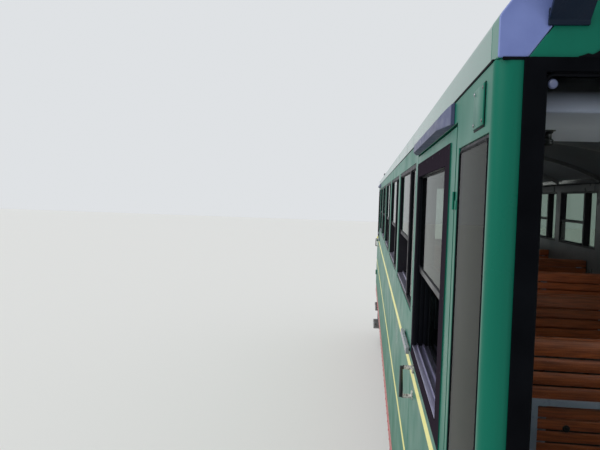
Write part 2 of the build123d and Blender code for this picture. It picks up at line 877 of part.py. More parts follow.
# Hand brake at the front end: a column with a spoked wheel
brake_x = half_length - brake_end
wheel_z = floor_top + brake_wheel_z
spoke = 2 * brake_wheel_radius
with BuildPart() as handbrake:
    with Locations((brake_x, brake_y, floor_top + brake_column / 2)):
        Cylinder(brake_column_radius, brake_column)
    with Locations((brake_x, brake_y, floor_top + brake_foot / 2)):
        Cylinder(brake_foot_radius, brake_foot)
    with Locations((brake_x, brake_y, wheel_z)):
        Box(spoke, brake_spoke, brake_spoke_depth)
        Box(brake_spoke, spoke, brake_spoke_depth)
        Cylinder(brake_hub_radius, brake_hub)
    with BuildSketch(side_plane(brake_y)):
        with Locations((brake_x + brake_wheel_radius, wheel_z)):
            RegularPolygon(radius=brake_rim_radius, side_count=brake_rim_sides)
    revolve(axis=Axis((brake_x, brake_y, wheel_z), (0, 0, 1)))
pieces["handbrake"] = handbrake
with BuildPart() as ceiling_lamps:
    for x in window_x:
        with Locations((x, 0, arch(ceiling_lamp_radius) - ceiling_lamp_depth / 2)):
            Cylinder(ceiling_lamp_radius, ceiling_lamp_depth)
pieces["ceiling_lamps"] = ceiling_lamps

# Wheelset: one axle with its two wheels, turned as one profile of radius and y about the axle
flange_back = back_to_back / 2
tread_y = flange_back + flange_width
outer_y = flange_back + wheel_width
web_y = flange_back + wheel_width / 2
hub_y = around(web_y, hub_length / 2)
web_faces = around(web_y, web_thickness / 2)
rim_inner = wheel_radius - rim_depth
flange_radius = wheel_radius + flange_depth
wheel_profile = [
    (0, 0),
    (axle_radius, 0),
    (axle_radius, hub_y[0]),
    (hub_radius, hub_y[0]),
    (hub_radius, web_faces[0]),
    (rim_inner, web_faces[0]),
    (rim_inner, flange_back),
    (flange_radius, flange_back),
    (flange_radius, flange_back + flange_tip),
    (wheel_radius, tread_y),
    (wheel_radius, outer_y),
    (rim_inner, outer_y),
    (rim_inner, web_faces[1]),
    (hub_radius, web_faces[1]),
    (hub_radius, hub_y[1]),
    (journal_radius, hub_y[1]),
    (journal_radius, journal_end),
    (0, journal_end),
]
half_base = wheelbase / 2
axle_x = [end * bogie_x + step * half_base for _, end in ends for step in (-1, 1)]
for number, x in enumerate(axle_x, start=1):
    with BuildPart() as wheelset:
        with BuildSketch(Plane(origin=(x, 0, axle_z))):
            with BuildLine():
                Polyline(*wheel_profile, close=True)
            make_face()
            mirror(about=Plane.XZ)
        revolve(axis=Axis((x, 0, axle_z), (0, 1, 0)))
    pieces[f"wheelset_{number}"] = wheelset

# Rack pinions: toothed blades half a tooth apart on a bored sleeve, with a drum on each side of them
pinion_radius = pinion_teeth * rack_pitch / (2 * math.pi)
root_radius = pinion_radius - pinion_dedendum
tip_radius = pinion_radius + pinion_addendum
tooth_half = rack_pitch / 4
tooth_foot = (root_radius - tooth_sink, tooth_half + tooth_foot_flare)
tooth_flank = (pinion_radius, tooth_half - tooth_flank_inset)
tooth_tip = (tip_radius, tooth_half - tooth_tip_inset)
half_pitch_turn = 180 / pinion_teeth
for end_name, end in ends:
    x = end * (bogie_x + half_base)
    with BuildPart() as pinion:
        for blade, turn in ((-1, 0), (1, half_pitch_turn)):
            blade_y = (blade * blade_spacing + blade_thickness) / 2
            with BuildSketch(Plane(origin=(x, blade_y, axle_z), x_dir=(1, 0, 0), z_dir=(0, -1, 0))):
                Circle(root_radius)
                with PolarLocations(0, pinion_teeth, start_angle=turn):
                    with BuildLine():
                        ThreePointArc(tooth_foot, tooth_flank, tooth_tip)
                        Line(tooth_tip, (tooth_tip[0], -tooth_tip[1]))
                        ThreePointArc(
                            (tooth_tip[0], -tooth_tip[1]),
                            (tooth_flank[0], -tooth_flank[1]),
                            (tooth_foot[0], -tooth_foot[1]),
                        )
                        Line((tooth_foot[0], -tooth_foot[1]), tooth_foot)
                    make_face()
            extrude(amount=blade_thickness)
        with Locations((x, 0, axle_z)):
            Cylinder(sleeve_radius, sleeve_length, rotation=(90, 0, 0))
        with Locations((x, drum_offset, axle_z), (x, -drum_offset, axle_z)):
            Cylinder(drum_radius, drum_width, rotation=(90, 0, 0))
        with Locations((x, 0, axle_z)):
            Cylinder(axle_radius + running_gap, sleeve_length, rotation=(90, 0, 0), mode=Mode.SUBTRACT)
    pieces[f"pinion_{end_name}"] = pinion

# Bogie frames: two side frames with horn guides, joined by a bolster with a bored centre
frame_half = half_base + side_frame_end
box_top = axle_z + box_height / 2
spring_top = box_top + leaf_count * leaf_thickness
frame_under = spring_top + side_frame_clearance
horn_in = box_length / 2 + running_gap
frame_outline = [
    (-frame_half, side_frame_top),
    (frame_half, side_frame_top),
    (frame_half, frame_under + frame_end_rise),
    (frame_half - frame_end_slope, frame_under),
    (side_frame_middle, frame_under),
    (side_frame_middle - side_frame_slope, side_frame_drop),
    (side_frame_slope - side_frame_middle, side_frame_drop),
    (-side_frame_middle, frame_under),
    (frame_end_slope - frame_half, frame_under),
    (-frame_half, frame_under + frame_end_rise),
]
spring_end = (leaf_span - spring_shoe) / 2
for end_name, end in ends:
    x = end * bogie_x
    with BuildPart() as bogie_frame:
        for _, side in sides:
            frame_band = around(side * side_frame_y, side_frame_width / 2)
            with BuildSketch(side_plane(frame_band[1])):
                with BuildLine():
                    Polyline(*[(x + dx, z) for dx, z in frame_outline], close=True)
                make_face()
            extrude(amount=side_frame_width)
            for axle in (-half_base, half_base):
                for step in (-1, 1):
                    near = x + axle + step * horn_in
                    block((near, near + step * horn_width), frame_band, (horn_bottom, frame_under))
                    block(
                        around(x + axle + step * spring_end, spring_shoe),
                        (side * side_frame_y, side * (spring_y + spring_bracket_y)),
                        (frame_under, frame_under + spring_bracket),
                    )
        block(
            around(x, bolster_length / 2),
            (-side_frame_y - side_frame_width / 2, side_frame_y + side_frame_width / 2),
            (bolster_top - bolster_depth, bolster_top),
        )
        with Locations((x, 0, bolster_top - bolster_depth / 2)):
            Cylinder(pin_radius + running_gap, bolster_depth, mode=Mode.SUBTRACT)
    pieces[f"bogie_frame_{end_name}"] = bogie_frame

# Axle boxes with a bored journal seat, and leaf springs on them
spring_centre = spring_top + leaf_radius
shoe_z = spring_centre - math.sqrt((leaf_radius + leaf_thickness / 2) ** 2 - spring_end**2)
bore_end = journal_end + journal_clearance
for end_name, end in ends:
    corners = [(end * bogie_x + step * half_base, side) for step in (-1, 1) for _, side in sides]
    with BuildPart() as axle_boxes:
        for x, side in corners:
            box_y = (side * box_inner_y, side * box_outer_y)
            block(around(x, box_length / 2), box_y, around(axle_z, box_height / 2))
            with Locations((x, side * (box_outer_y + box_cover_depth / 2), axle_z)):
                Cylinder(box_cover_radius, box_cover_depth, rotation=(90, 0, 0))
            with Locations((x, side * (box_inner_y + bore_end) / 2, axle_z)):
                Cylinder(
                    journal_radius + running_gap,
                    bore_end - box_inner_y,
                    rotation=(90, 0, 0),
                    mode=Mode.SUBTRACT,
                )
    pieces[f"axle_boxes_{end_name}"] = axle_boxes
    with BuildPart() as springs:
        for x, side in corners:
            y = side * spring_y
            with BuildSketch(side_plane(y + leaf_width / 2)):
                for k in range(leaf_count):
                    half = (leaf_span - k * leaf_step) / 2
                    inner = leaf_radius + k * leaf_thickness
                    outer = inner + leaf_thickness
                    rise_in = spring_centre - math.sqrt(inner**2 - half**2)
                    rise_out = spring_centre - math.sqrt(outer**2 - half**2)
                    with BuildLine():
                        ThreePointArc((x - half, rise_in), (x, spring_centre - inner), (x + half, rise_in))
                        Line((x + half, rise_in), (x + half, rise_out))
                        ThreePointArc((x + half, rise_out), (x, spring_centre - outer), (x - half, rise_out))
                        Line((x - half, rise_out), (x - half, rise_in))
                    make_face()
            extrude(amount=leaf_width)
            block(
                around(x, spring_buckle_half),
                around(y, spring_buckle_y),
                (box_top, spring_top + spring_buckle_rise),
            )
            for step in (-1, 1):
                shoe_x = around(x + step * spring_end, spring_shoe / 2)
                block(shoe_x, around(y, spring_shoe_y), (shoe_z, frame_under))
    pieces[f"springs_{end_name}"] = springs

# Brake gear: a beam across each pair of wheels, with curved blocks on its ends and hangers
shoe_radius = wheel_radius + shoe_gap
beam_offset = half_base - shoe_radius - shoe_thickness - brake_beam_radius + brake_beam_sink
shoe_middle = (tread_y + outer_y) / 2 + shoe_offset
hanger_z = bolster_top - bolster_depth
for end_name, end in ends:
    with BuildPart() as brake_gear:
        for step in (-1, 1):
            wheel_x = end * bogie_x + step * half_base
            x = end * bogie_x + step * beam_offset
            with Locations((x, 0, axle_z)):
                Cylinder(brake_beam_radius, 2 * (outer_y - brake_beam_end), rotation=(90, 0, 0))
            for _, side in sides:
                with BuildSketch(side_plane(side * shoe_middle + shoe_width / 2)):
                    with Locations((wheel_x, axle_z)):
                        Circle(shoe_radius + shoe_thickness)
                        Circle(shoe_radius, mode=Mode.SUBTRACT)
                    with Locations((x + step * shoe_crop_shift, axle_z)):
                        Rectangle(shoe_crop, shoe_height, mode=Mode.INTERSECT)
                extrude(amount=shoe_width)
                hanger_y = around(side * brake_hanger_y, brake_hanger_half)
                bolster_face = end * bogie_x + step * bolster_length / 2
                block((bolster_face, x), hanger_y, (hanger_z, hanger_z + brake_bracket))
                block(around(x, brake_hanger_x), hanger_y, (axle_z, hanger_z + brake_bracket))
    pieces[f"brake_gear_{end_name}"] = brake_gear

for name, piece in pieces.items():
    piece.part.label = name
    export_step(piece.part, f"parts/{name}.step")
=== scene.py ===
"""Rack railway passenger car: finishes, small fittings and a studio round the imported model."""

import json
import math

import bmesh
import bpy
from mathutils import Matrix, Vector


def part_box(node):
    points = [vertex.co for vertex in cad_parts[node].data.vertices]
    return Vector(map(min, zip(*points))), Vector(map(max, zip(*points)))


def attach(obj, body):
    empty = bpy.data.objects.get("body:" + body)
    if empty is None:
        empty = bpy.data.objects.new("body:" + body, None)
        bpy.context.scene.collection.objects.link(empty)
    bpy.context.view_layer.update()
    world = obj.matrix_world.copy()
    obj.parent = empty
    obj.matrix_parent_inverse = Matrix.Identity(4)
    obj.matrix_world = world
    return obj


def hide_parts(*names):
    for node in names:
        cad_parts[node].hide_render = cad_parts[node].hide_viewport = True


bl_info = {
    "name": "Rack Railway Car",
    "version": (1, 0, 0),
    "blender": (4, 5, 0),
    "location": "View3D > Sidebar > Rack Car",
    "description": "Finishes, fittings and studio for a rack railway passenger car",
    "category": "Object",
}

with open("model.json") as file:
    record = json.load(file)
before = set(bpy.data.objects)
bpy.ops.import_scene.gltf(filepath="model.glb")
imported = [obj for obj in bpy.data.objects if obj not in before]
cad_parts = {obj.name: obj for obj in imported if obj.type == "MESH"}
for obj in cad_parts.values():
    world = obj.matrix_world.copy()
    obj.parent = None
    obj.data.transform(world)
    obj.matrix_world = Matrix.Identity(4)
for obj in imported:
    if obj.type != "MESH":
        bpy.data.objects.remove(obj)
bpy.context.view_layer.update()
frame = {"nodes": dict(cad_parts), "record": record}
MM = 0.001
FAR = 9.0  # metres, past any point of the car: the open end of a one-sided limit
EVEN = (1, 1, 1)
SHARP = math.radians(32)
ENDS = (("rear", -1), ("front", 1))
SIDES = (("left", 1), ("right", -1))
CORNERS = [(f"{side}_{end}", y, x) for side, y in SIDES for end, x in ENDS]


def node_box(name):
    """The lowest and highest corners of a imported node, as plain tuples."""
    low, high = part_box(name)
    return tuple(low), tuple(high)


def spread(low, high, count):
    """Evenly spaced values from one limit to the other."""
    return [low + (high - low) * k / (count - 1) for k in range(count)]


def inset(limits, by):
    """A pair of limits drawn in at both ends."""
    return (limits[0] + by, limits[1] - by)


def circle(count, radius, first=0.0):
    """Pairs of offsets round a circle; the first stands a share of one step round."""
    angles = [2 * math.pi * (k + first) / count for k in range(count)]
    return [(radius * math.cos(angle), radius * math.sin(angle)) for angle in angles]


WALL_LOW, WALL_HIGH = node_box("side_wall_left")
END_X, SIDE_Y, GUTTER_Z = WALL_HIGH
END_INNER_X = node_box("end_wall_front")[0][0]
DOOR_INNER_Y = node_box("door_left_front")[0][1]
PANE_LOW, PANE_HIGH = node_box("door_glass_left_front")
RAIL_Z = 28 * MM


def above_rail(*heights):
    """Heights above the rail in millimetres, as levels in metres."""
    return tuple(RAIL_Z + height * MM for height in heights)


def from_end(*distances):
    """Distances from the car's end in millimetres, as places along it in metres."""
    return tuple(END_X - distance * MM for distance in distances)


# Side windows: five bays, each with a fixed pane and a pair of sashes beside it
BAY = 1480 * MM
DOOR_ZONE = 1600 * MM
WINDOW = 1320 * MM
FIXED_PANE = 360 * MM
MULLION = 50 * MM
RIM = 20 * MM
PANE_BACK = 14 * MM
SASH_BACK = 63 * MM
WINDOW_Z = above_rail(1980, 2640)
SASH_SPLIT = above_rail(2258, 2280)
CORNER_PANE_X = from_end(395, 38)
CORNER_PANE_Z = above_rail(1880, 2600)
BAY_LINES = [DOOR_ZONE - END_X + k * BAY for k in range(6)]
WINDOW_START = [x + (BAY - WINDOW) / 2 for x in BAY_LINES[:-1]]

# Doors and end windows
SURROUND_X = from_end(1545, 530)
SURROUND_Z = above_rail(1830, 2625)
DOOR_SPLIT = above_rail(2188, 2210)
HANDLE_X, HINGE_X = from_end(1400, 435)
HANDLE_Z = above_rail(1755)[0]
HINGE_Z = above_rail(1150, 1750, 2480)
END_OPENING_Z = above_rail(1759, 2790)
END_POST_Y = (365 * MM, 435 * MM)
LAMP_Y, LAMP_Z = 820 * MM, sum(corner[2] for corner in node_box("end_lamps")) / 2


def linear(code):
    """Turn an sRGB hex colour into the linear colour that shaders read; a socket passes as it is."""
    if not isinstance(code, str):
        return code
    levels = [int(code[i:i + 2], 16) / 255 for i in (1, 3, 5)]
    return tuple(v / 12.92 if v <= 0.04045 else ((v + 0.055) / 1.055) ** 2.4 for v in levels) + (1.0,)


def feed(tree, node, inputs):
    """Fill a node's inputs with values, or link them to other nodes' outputs."""
    for key, value in inputs.items():
        if isinstance(value, bpy.types.NodeSocket):
            tree.links.new(value, node.inputs[key])
        else:
            node.inputs[key].default_value = value


def adjusted(thing, **settings):
    """Set the properties of a node, a lamp, a camera or a modifier."""
    for name, value in settings.items():
        setattr(thing, name, value)
    return thing


def add_node(tree, kind, inputs=None, out=None, **settings):
    """Add a node, set its properties and feed its inputs; hand back the node, or one of its outputs."""
    made = adjusted(tree.nodes.new(kind), **settings)
    feed(tree, made, inputs or {})
    return made if out is None else made.outputs[out]


def new_material(name, **shader):
    """A material, its tree, its Principled shader, and the surface point in the object's own metres."""
    material = bpy.data.materials.new(name)
    material.use_nodes = True
    tree = material.node_tree
    bsdf = tree.nodes["Principled BSDF"]
    feed(tree, bsdf, {key.replace("_", " "): value for key, value in shader.items()})
    return material, tree, bsdf, add_node(tree, "ShaderNodeTexCoord", out="Object")


def mottle(tree, point, size, detail=4.0, stretch=EVEN, shown=(0.0, 1.0), levels=(0.0, 1.0)):
    """Cloudy noise with features about size metres across, spread between two levels and held there."""
    scaled = add_node(tree, "ShaderNodeMapping", {"Vector": point, "Scale": stretch}, 0)
    noise = add_node(tree, "ShaderNodeTexNoise", {"Vector": scaled, "Scale": 1 / size, "Detail": detail}, 0)
    limits = {"Value": noise, "From Min": shown[0], "From Max": shown[1], "To Min": levels[0], "To Max": levels[1]}
    return add_node(tree, "ShaderNodeMapRange", limits, 0)


def region(tree, *limits, soft=0.2 * MM):
    """1 where each value lies between its low and high limit, with soft edges, and 0 elsewhere."""
    mask = 1.0
    for value, low, high in limits:
        for edge, step in ((low, soft), (high, -soft)):
            rise = {"Value": value, "From Min": edge - step, "From Max": edge + step}
            rise = add_node(tree, "ShaderNodeMapRange", rise, 0)
            mask = add_node(tree, "ShaderNodeMath", {0: mask, 1: rise}, 0, operation="MULTIPLY")
    return mask


def layered(tree, base, *coats):
    """Lay coats over a base colour; each is how much of it shows, and its colour."""
    for shows, colour in coats:
        inputs = {0: shows, 6: linear(base), 7: linear(colour)}
        base = add_node(tree, "ShaderNodeMix", inputs, 2, data_type="RGBA")
    return base


def car_axes(tree, point):
    """How far a point is from the middle, along and across the car, and how high it is."""
    axes = add_node(tree, "ShaderNodeSeparateXYZ", {"Vector": point}).outputs
    along, across = (add_node(tree, "ShaderNodeMath", {0: axes[i]}, 0, operation="ABSOLUTE") for i in (0, 1))
    return along, across, axes[2]


def facing_down(tree, slope):
    """1 where the surface faces down by more than a slope, and 0 elsewhere."""
    normal = add_node(tree, "ShaderNodeNewGeometry", out="Normal")
    up = add_node(tree, "ShaderNodeSeparateXYZ", {"Vector": normal}, 2)
    return add_node(tree, "ShaderNodeMath", {0: up, 1: slope}, 0, operation="LESS_THAN")


def coated(tree, bsdf, point, colour, relief, depth):
    """Give a shader its colour, and a mottled relief depth metres tall."""
    height = mottle(tree, point, *relief)
    normal = add_node(tree, "ShaderNodeBump", {"Height": height, "Distance": depth}, 0)
    feed(tree, bsdf, {"Base Color": colour, "Normal": normal})


def patterned(name, base, coats, gloss, relief, depth, **shader):
    """A finish of mottled coats over a base colour, with patterns of their own for gloss and relief."""
    material, tree, bsdf, point = new_material(name, **shader)
    colour = layered(tree, base, *((mottle(tree, point, *pattern), tone) for pattern, tone in coats))
    coated(tree, bsdf, point, colour, relief, depth)
    feed(tree, bsdf, {"Roughness": mottle(tree, point, *gloss)})
    return material


def coach_enamel(car, gloss, rough=(0.26, 0.4)):
    """Air-dried coach enamel on steel sheet: full colour, slight waves in the sheet, dust low down.

    Inside it is satin wall board. Round the door windows it is bronze on the raised frame and black in the
    reveal, and it is black in the end windows' reveals.
    """
    material, tree, bsdf, point = new_material("coach_enamel")
    along, across, height = car_axes(tree, point)
    streaks = mottle(tree, point, 30 * MM, 3.0, (1, 1, 0.03), (0.45, 0.75), (0.0, 0.35))
    side = (across, SIDE_Y - 1.5 * MM, FAR)
    widths = ((car.upper_line, car.line_width), (car.lower_line, car.line_width * 0.85))
    lines = [region(tree, side, (height, z, z + wide), soft=0.5 * MM) for z, wide in widths]
    fading = {"Value": height, "From Min": WALL_LOW[2], "From Max": WALL_LOW[2] + 0.7, "To Min": 0.3, "To Max": 0}
    cloud = mottle(tree, point, 0.12, 8.0, (0.4, 0.4, 1))
    low_down = add_node(tree, "ShaderNodeMapRange", fading, 0)
    dust = add_node(tree, "ShaderNodeMath", {0: low_down, 1: cloud}, 0, operation="MULTIPLY")
    bronze = layered(tree, "#322b33", (mottle(tree, point, 4 * MM, 3.0, (1, 1, 0.05)), "#221d25"))
    raised = region(tree, (along, *SURROUND_X), (height, *SURROUND_Z), (across, SIDE_Y + MM, FAR))
    door_reveal = region(
        tree, (along, *inset((PANE_LOW[0], PANE_HIGH[0]), -MM)), (height, *inset((PANE_LOW[2], PANE_HIGH[2]), -MM))
    )
    end_reveal = region(
        tree, (along, END_INNER_X + 0.5 * MM, END_X - 0.3 * MM), (height, *END_OPENING_Z),
        (across, -FAR, SIDE_Y - 79 * MM),
    )
    board = layered(tree, "#4c4e50", (mottle(tree, point, 0.25), "#404245"))
    indoors = (along, -FAR, END_INNER_X + 0.5 * MM)
    lining = region(tree, indoors, (across, -FAR, DOOR_INNER_Y + MM))
    cornice = region(tree, indoors, (across, -FAR, SIDE_Y - 48 * MM), (height, GUTTER_Z - MM, GUTTER_Z + 100 * MM))
    colour = layered(
        tree, car.green, (mottle(tree, point, 0.7), car.green_deep), (streaks, car.green_deep),
        (lines[0], car.yellow), (lines[1], car.yellow), (dust, "#7d7a6b"), (raised, bronze),
        (door_reveal, "#14151a"), (end_reveal, "#0b0c10"), (lining, board), (cornice, board),
    )
    satin = mottle(tree, point, 0.25, 6.0, EVEN, (0.3, 0.7), rough)
    waves = mottle(tree, point, 0.35, 1.0)
    peel = mottle(tree, point, 4 * MM, 2.0, levels=(0.0, 0.02))
    relief = add_node(tree, "ShaderNodeMath", {0: waves, 1: peel}, 0, operation="ADD")
    shine = {"Value": raised, "To Min": gloss, "To Max": 0}
    feed(tree, bsdf, {
        "Base Color": colour,
        "Specular IOR Level": add_node(tree, "ShaderNodeMapRange", shine, 0),
        "Roughness": add_node(tree, "ShaderNodeMath", {0: satin, 1: dust}, 0, operation="ADD"),
        "Normal": add_node(tree, "ShaderNodeBump", {"Height": relief, "Distance": 1.2 * MM}, 0),
    })
    return material


def dusty_paint(name, colour, dust="#8a8474", rough=0.5, amount=0.4, shine=0.5):
    """Brushed or sprayed paint, with brush marks 3 mm apart drawn coarse enough to show, and dust on it."""
    return patterned(
        name, colour, [((0.18, 8.0, EVEN, (0.4, 0.75), (0.0, amount)), dust)],
        (0.03, 6.0, EVEN, (0.3, 0.7), (rough - 0.1, rough + 0.15)), (3 * MM, 4.0), 0.15 * MM,
        Specular_IOR_Level=shine,
    )


def worn_steel(name, colour, dark, rough=0.35):
    """Machined or rolled steel: bright where it rubs, brown-grey where grease and dust stay."""
    return patterned(
        name, colour, [((0.09, 8.0, EVEN, (0.42, 0.62)), dark)],
        (0.04, 6.0, EVEN, (0.3, 0.7), (rough - 0.08, rough + 0.2)), (2 * MM, 3.0), 0.1 * MM, Metallic=0.9,
    )


def moulded(name, colour, worn="#0e1014", rough=0.5, grit=1.5 * MM, shine=0.02):
    """Moulded rubber or plastic with a fine even grain, rubbed paler in patches."""
    return patterned(
        name, colour, [((0.08, 5.0, EVEN, (0.3, 0.7)), worn)],
        (0.03, 5.0, EVEN, (0.3, 0.7), (rough - 0.08, rough + 0.12)), (grit, 2.0), 0.1 * MM,
        Specular_IOR_Level=shine,
    )


def anodised(name, colour):
    """Extruded and anodised aluminium: satin, with faint die lines along the section."""
    lines = (3 * MM, 3.0, (0.05, 1, 1))
    return patterned(
        name, colour, [((*lines, (0.3, 0.7), (0.0, 0.5)), "#5c5a66")],
        (*lines, (0.3, 0.7), (0.28, 0.45)), lines, 0.05 * MM, Metallic=1.0,
    )


def varnished_slat(name, light, dark):
    """Varnished larch, sawn along the bench: long grain with darker late wood, and boards of unlike tone."""
    grain = (9 * MM, 6.0, (1, 0.06, 1))
    boards = (0.12, 1.0, (1, 0.1, 1), (0.3, 0.7), (0.0, 0.35))
    return patterned(
        name, light, [((*grain, (0.35, 0.68)), dark), (boards, dark)],
        (*grain, (0.3, 0.7), (0.3, 0.5)), grain, 0.2 * MM, Coat_Weight=0.3, Coat_Roughness=0.2,
    )


def safety_glass(name, pale, deep, corner_tint):
    """Toughened sheet glass with a faint tint, deeper in the corner panes; lets daylight into the saloon."""
    material, tree, bsdf, point = new_material(name, IOR=1.04, Roughness=0.0, Transmission_Weight=1.0)
    corner = region(tree, (car_axes(tree, point)[0], PANE_HIGH[0] + 40 * MM, FAR))
    tint = layered(tree, pale, (mottle(tree, point, 0.6), deep), (corner, corner_tint))
    feed(tree, bsdf, {"Base Color": tint})
    clear = add_node(tree, "ShaderNodeBsdfTransparent", {"Color": linear("#e8f0ec")}, 0)
    shadow = add_node(tree, "ShaderNodeLightPath", out="Is Shadow Ray")
    mixed = add_node(tree, "ShaderNodeMixShader", {0: shadow, 1: bsdf.outputs[0], 2: clear}, 0)
    feed(tree, tree.nodes["Material Output"], {"Surface": mixed})
    return material


def lamp_lens():
    """Pressed lamp glass: clear, with upright ribs 9 mm apart that break up what lies behind."""
    material, tree, bsdf, point = new_material(
        "lamp_pressed_glass", IOR=1.45, Roughness=0.08, Transmission_Weight=0.9
    )
    across = add_node(tree, "ShaderNodeSeparateXYZ", {"Vector": point}, 1)
    turn = add_node(tree, "ShaderNodeMath", {0: across, 1: 2 * math.pi / (9 * MM)}, 0, operation="MULTIPLY")
    ribs = add_node(tree, "ShaderNodeMath", {0: turn}, 0, operation="SINE")
    feed(tree, bsdf, {
        "Base Color": layered(tree, "#eef2ee", (mottle(tree, point, 0.05), "#d8ded8")),
        "Normal": add_node(tree, "ShaderNodeBump", {"Height": ribs, "Distance": 0.8 * MM}, 0),
    })
    return material


def cap_paint(car):
    """Moulded end cap: blue-grey on its end face, coach green where it carries the fairing's line round."""
    material, tree, bsdf, point = new_material("cap_paint", Roughness=0.3)
    face_x = node_box("eaves_caps")[1][0] - 3 * MM
    end_face = region(tree, (car_axes(tree, point)[0], face_x, FAR))
    blue = layered(tree, "#7685bf", (mottle(tree, point, 0.05), "#5e6da8"))
    colour = layered(tree, car.green, (mottle(tree, point, 0.1), car.green_deep), (end_face, blue))
    coated(tree, bsdf, point, colour, (5 * MM, 2.0), 0.1 * MM)
    return material


def locker_enamel():
    """Sheet-metal locker in grey enamel, with painted light and shade: its underside is painted paler away from the
    end wall, and its face towards the window is painted darker towards the top.
    """
    material, tree, bsdf, point = new_material("locker_enamel_painted_shading", Roughness=0.5, Specular_IOR_Level=0.1)
    x, _, z = add_node(tree, "ShaderNodeSeparateXYZ", {"Vector": point}).outputs
    low, high = node_box("locker")
    worn = mottle(tree, point, 0.08, 5.0)
    painted_light_tones = (("#f0f2ff", "#dee2f4"), ("#a3a7ba", "#9296ab"), ("#090b10", "#06070b"))
    pale, middle, dark = (layered(tree, tone, (worn, rubbed)) for tone, rubbed in painted_light_tones)
    # Painted light: the underside pales away from the end wall. Painted shade: the face darkens towards its top.
    away = {"Value": x, "From Min": low[0] - 0.1, "From Max": high[0] - 0.3}
    rise = {"Value": z, "From Min": low[2], "From Max": low[2] + 0.4 * (high[2] - low[2])}
    under = layered(tree, middle, (add_node(tree, "ShaderNodeMapRange", away, 0), pale))
    face = layered(tree, middle, (add_node(tree, "ShaderNodeMapRange", rise, 0), dark))
    coated(tree, bsdf, point, layered(tree, face, (facing_down(tree, -0.97), under)), (6 * MM, 2.0), 0.1 * MM)
    return material


def roof_finish():
    """Brushed roof paint above, weathered in patches; smoked grey ceiling board on the underside."""
    material, tree, bsdf, point = new_material("roof_grey_paint", Roughness=0.6)
    patches = mottle(tree, point, 0.18, 8.0, EVEN, (0.4, 0.75), (0.0, 0.4))
    board = layered(tree, "#51565c", (mottle(tree, point, 0.3), "#454a50"))
    colour = layered(tree, "#8f9496", (patches, "#8a8474"), (facing_down(tree, 0.0), board))
    coated(tree, bsdf, point, colour, (3 * MM, 4.0), 0.15 * MM)
    return material


def handle_finish():
    """Black plastic grip on cast arms whose white paint is worn and lumpy."""
    material, tree, bsdf, point = new_material("handle_plastic_and_paint", Roughness=0.4)
    arm = region(tree, (car_axes(tree, point)[1], -FAR, SIDE_Y + 38 * MM))
    white = layered(tree, "#c9c8c2", (mottle(tree, point, 8 * MM, 4.0, EVEN, (0.45, 0.6)), "#6d6c68"))
    colour = layered(tree, "#101116", (mottle(tree, point, 0.02), "#1c1d23"), (arm, white))
    coated(tree, bsdf, point, colour, (6 * MM, 3.0), 0.6 * MM)
    return material


BODY_OF = {node: body for body, nodes in frame["record"]["behaviour"]["bodies"].items() for node in nodes}
SLOT_OF = {part["node"]: part["material_slot"] for part in frame["record"]["subparts"]}


def finish_of(node):
    """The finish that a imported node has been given."""
    return frame["nodes"][node].data.materials[0]


def add_object(name, data):
    """Link a new object that shows a mesh, a light or a camera."""
    made = bpy.data.objects.new(name, data)
    bpy.context.collection.objects.link(made)
    return made


def meshed(name, shape):
    """Turn a bmesh into a mesh, and free it."""
    mesh = bpy.data.meshes.new(name)
    shape.to_mesh(mesh)
    shape.free()
    return mesh


def shaded(mesh):
    """Shade a mesh smooth, but for its sharp edges."""
    mesh.shade_smooth()
    mesh.set_sharp_from_angle(angle=SHARP)
    return mesh


def finished(name, shape, material, body="car_body", smooth=True):
    """Turn a bmesh into a piece with its finish and body."""
    bmesh.ops.recalc_face_normals(shape, faces=shape.faces)
    return placed(name, meshed(name, shape), material, body, smooth)


def placed(name, mesh, material, body, smooth=True):
    """Link a mesh as a piece, shade it, and give it its finish and body."""
    mesh.materials.clear()
    mesh.materials.append(material)
    piece = add_object(name, shaded(mesh) if smooth else mesh)
    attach(piece, body)
    return piece


def plate(shape, low, high, edge):
    """Add a box between two corners, with its edges rounded over."""
    low, high = Vector(map(min, low, high)), Vector(map(max, low, high))
    made = bmesh.ops.create_cube(shape, size=1)["verts"]
    for vert in made:
        vert.co = Vector((low[i] + (vert.co[i] + 0.5) * (high[i] - low[i]) for i in range(3)))
    edges = list({e for v in made for e in v.link_edges})
    bmesh.ops.bevel(shape, geom=edges, offset=edge, segments=2, profile=0.5, affect="EDGES")


def boxed(name, corners, material, body="car_body", edge=MM):
    """A piece made of rounded boxes, each given by two corners."""
    shape = bmesh.new()
    for low, high in corners:
        plate(shape, low, high, edge)
    return finished(name, shape, material, body)


def turned(shape, centre, facing, profile, steps=24):
    """Turn a profile of radii and heights in millimetres about an axis, closed at radius nought."""
    turn = Vector(facing).to_track_quat("Z", "Y").to_matrix()
    rings = []
    for radius, height in profile:
        spots = circle(steps, radius * MM)[:steps if radius else 1]
        rings.append([shape.verts.new(Vector(centre) + turn @ Vector((*spot, height * MM))) for spot in spots])
    for one, two in zip(rings, rings[1:]):
        for k in range(steps):
            corners = [one[k % len(one)], one[(k + 1) % len(one)], two[(k + 1) % len(two)], two[k % len(two)]]
            corners = list(dict.fromkeys(corners))
            if len(corners) > 2:
                shape.faces.new(corners)


def slim_top_hinge(point):
    """The highest hinge is a slim one: its points are drawn in towards the wall and its middle."""
    near = 60 * MM
    if abs(point.z - HINGE_Z[2]) < near and abs(point.y) > SIDE_Y - MM and abs(abs(point.x) - HINGE_X) < near:
        point.y = math.copysign(SIDE_Y + (abs(point.y) - SIDE_Y) * 0.3, point.y)
        point.z = HINGE_Z[2] + (point.z - HINGE_Z[2]) * 0.5


def lift_bracket_foot(point):
    """The lamp brackets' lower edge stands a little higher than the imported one."""
    if point.z < GUTTER_Z + 50 * MM:
        point.z += 13 * MM


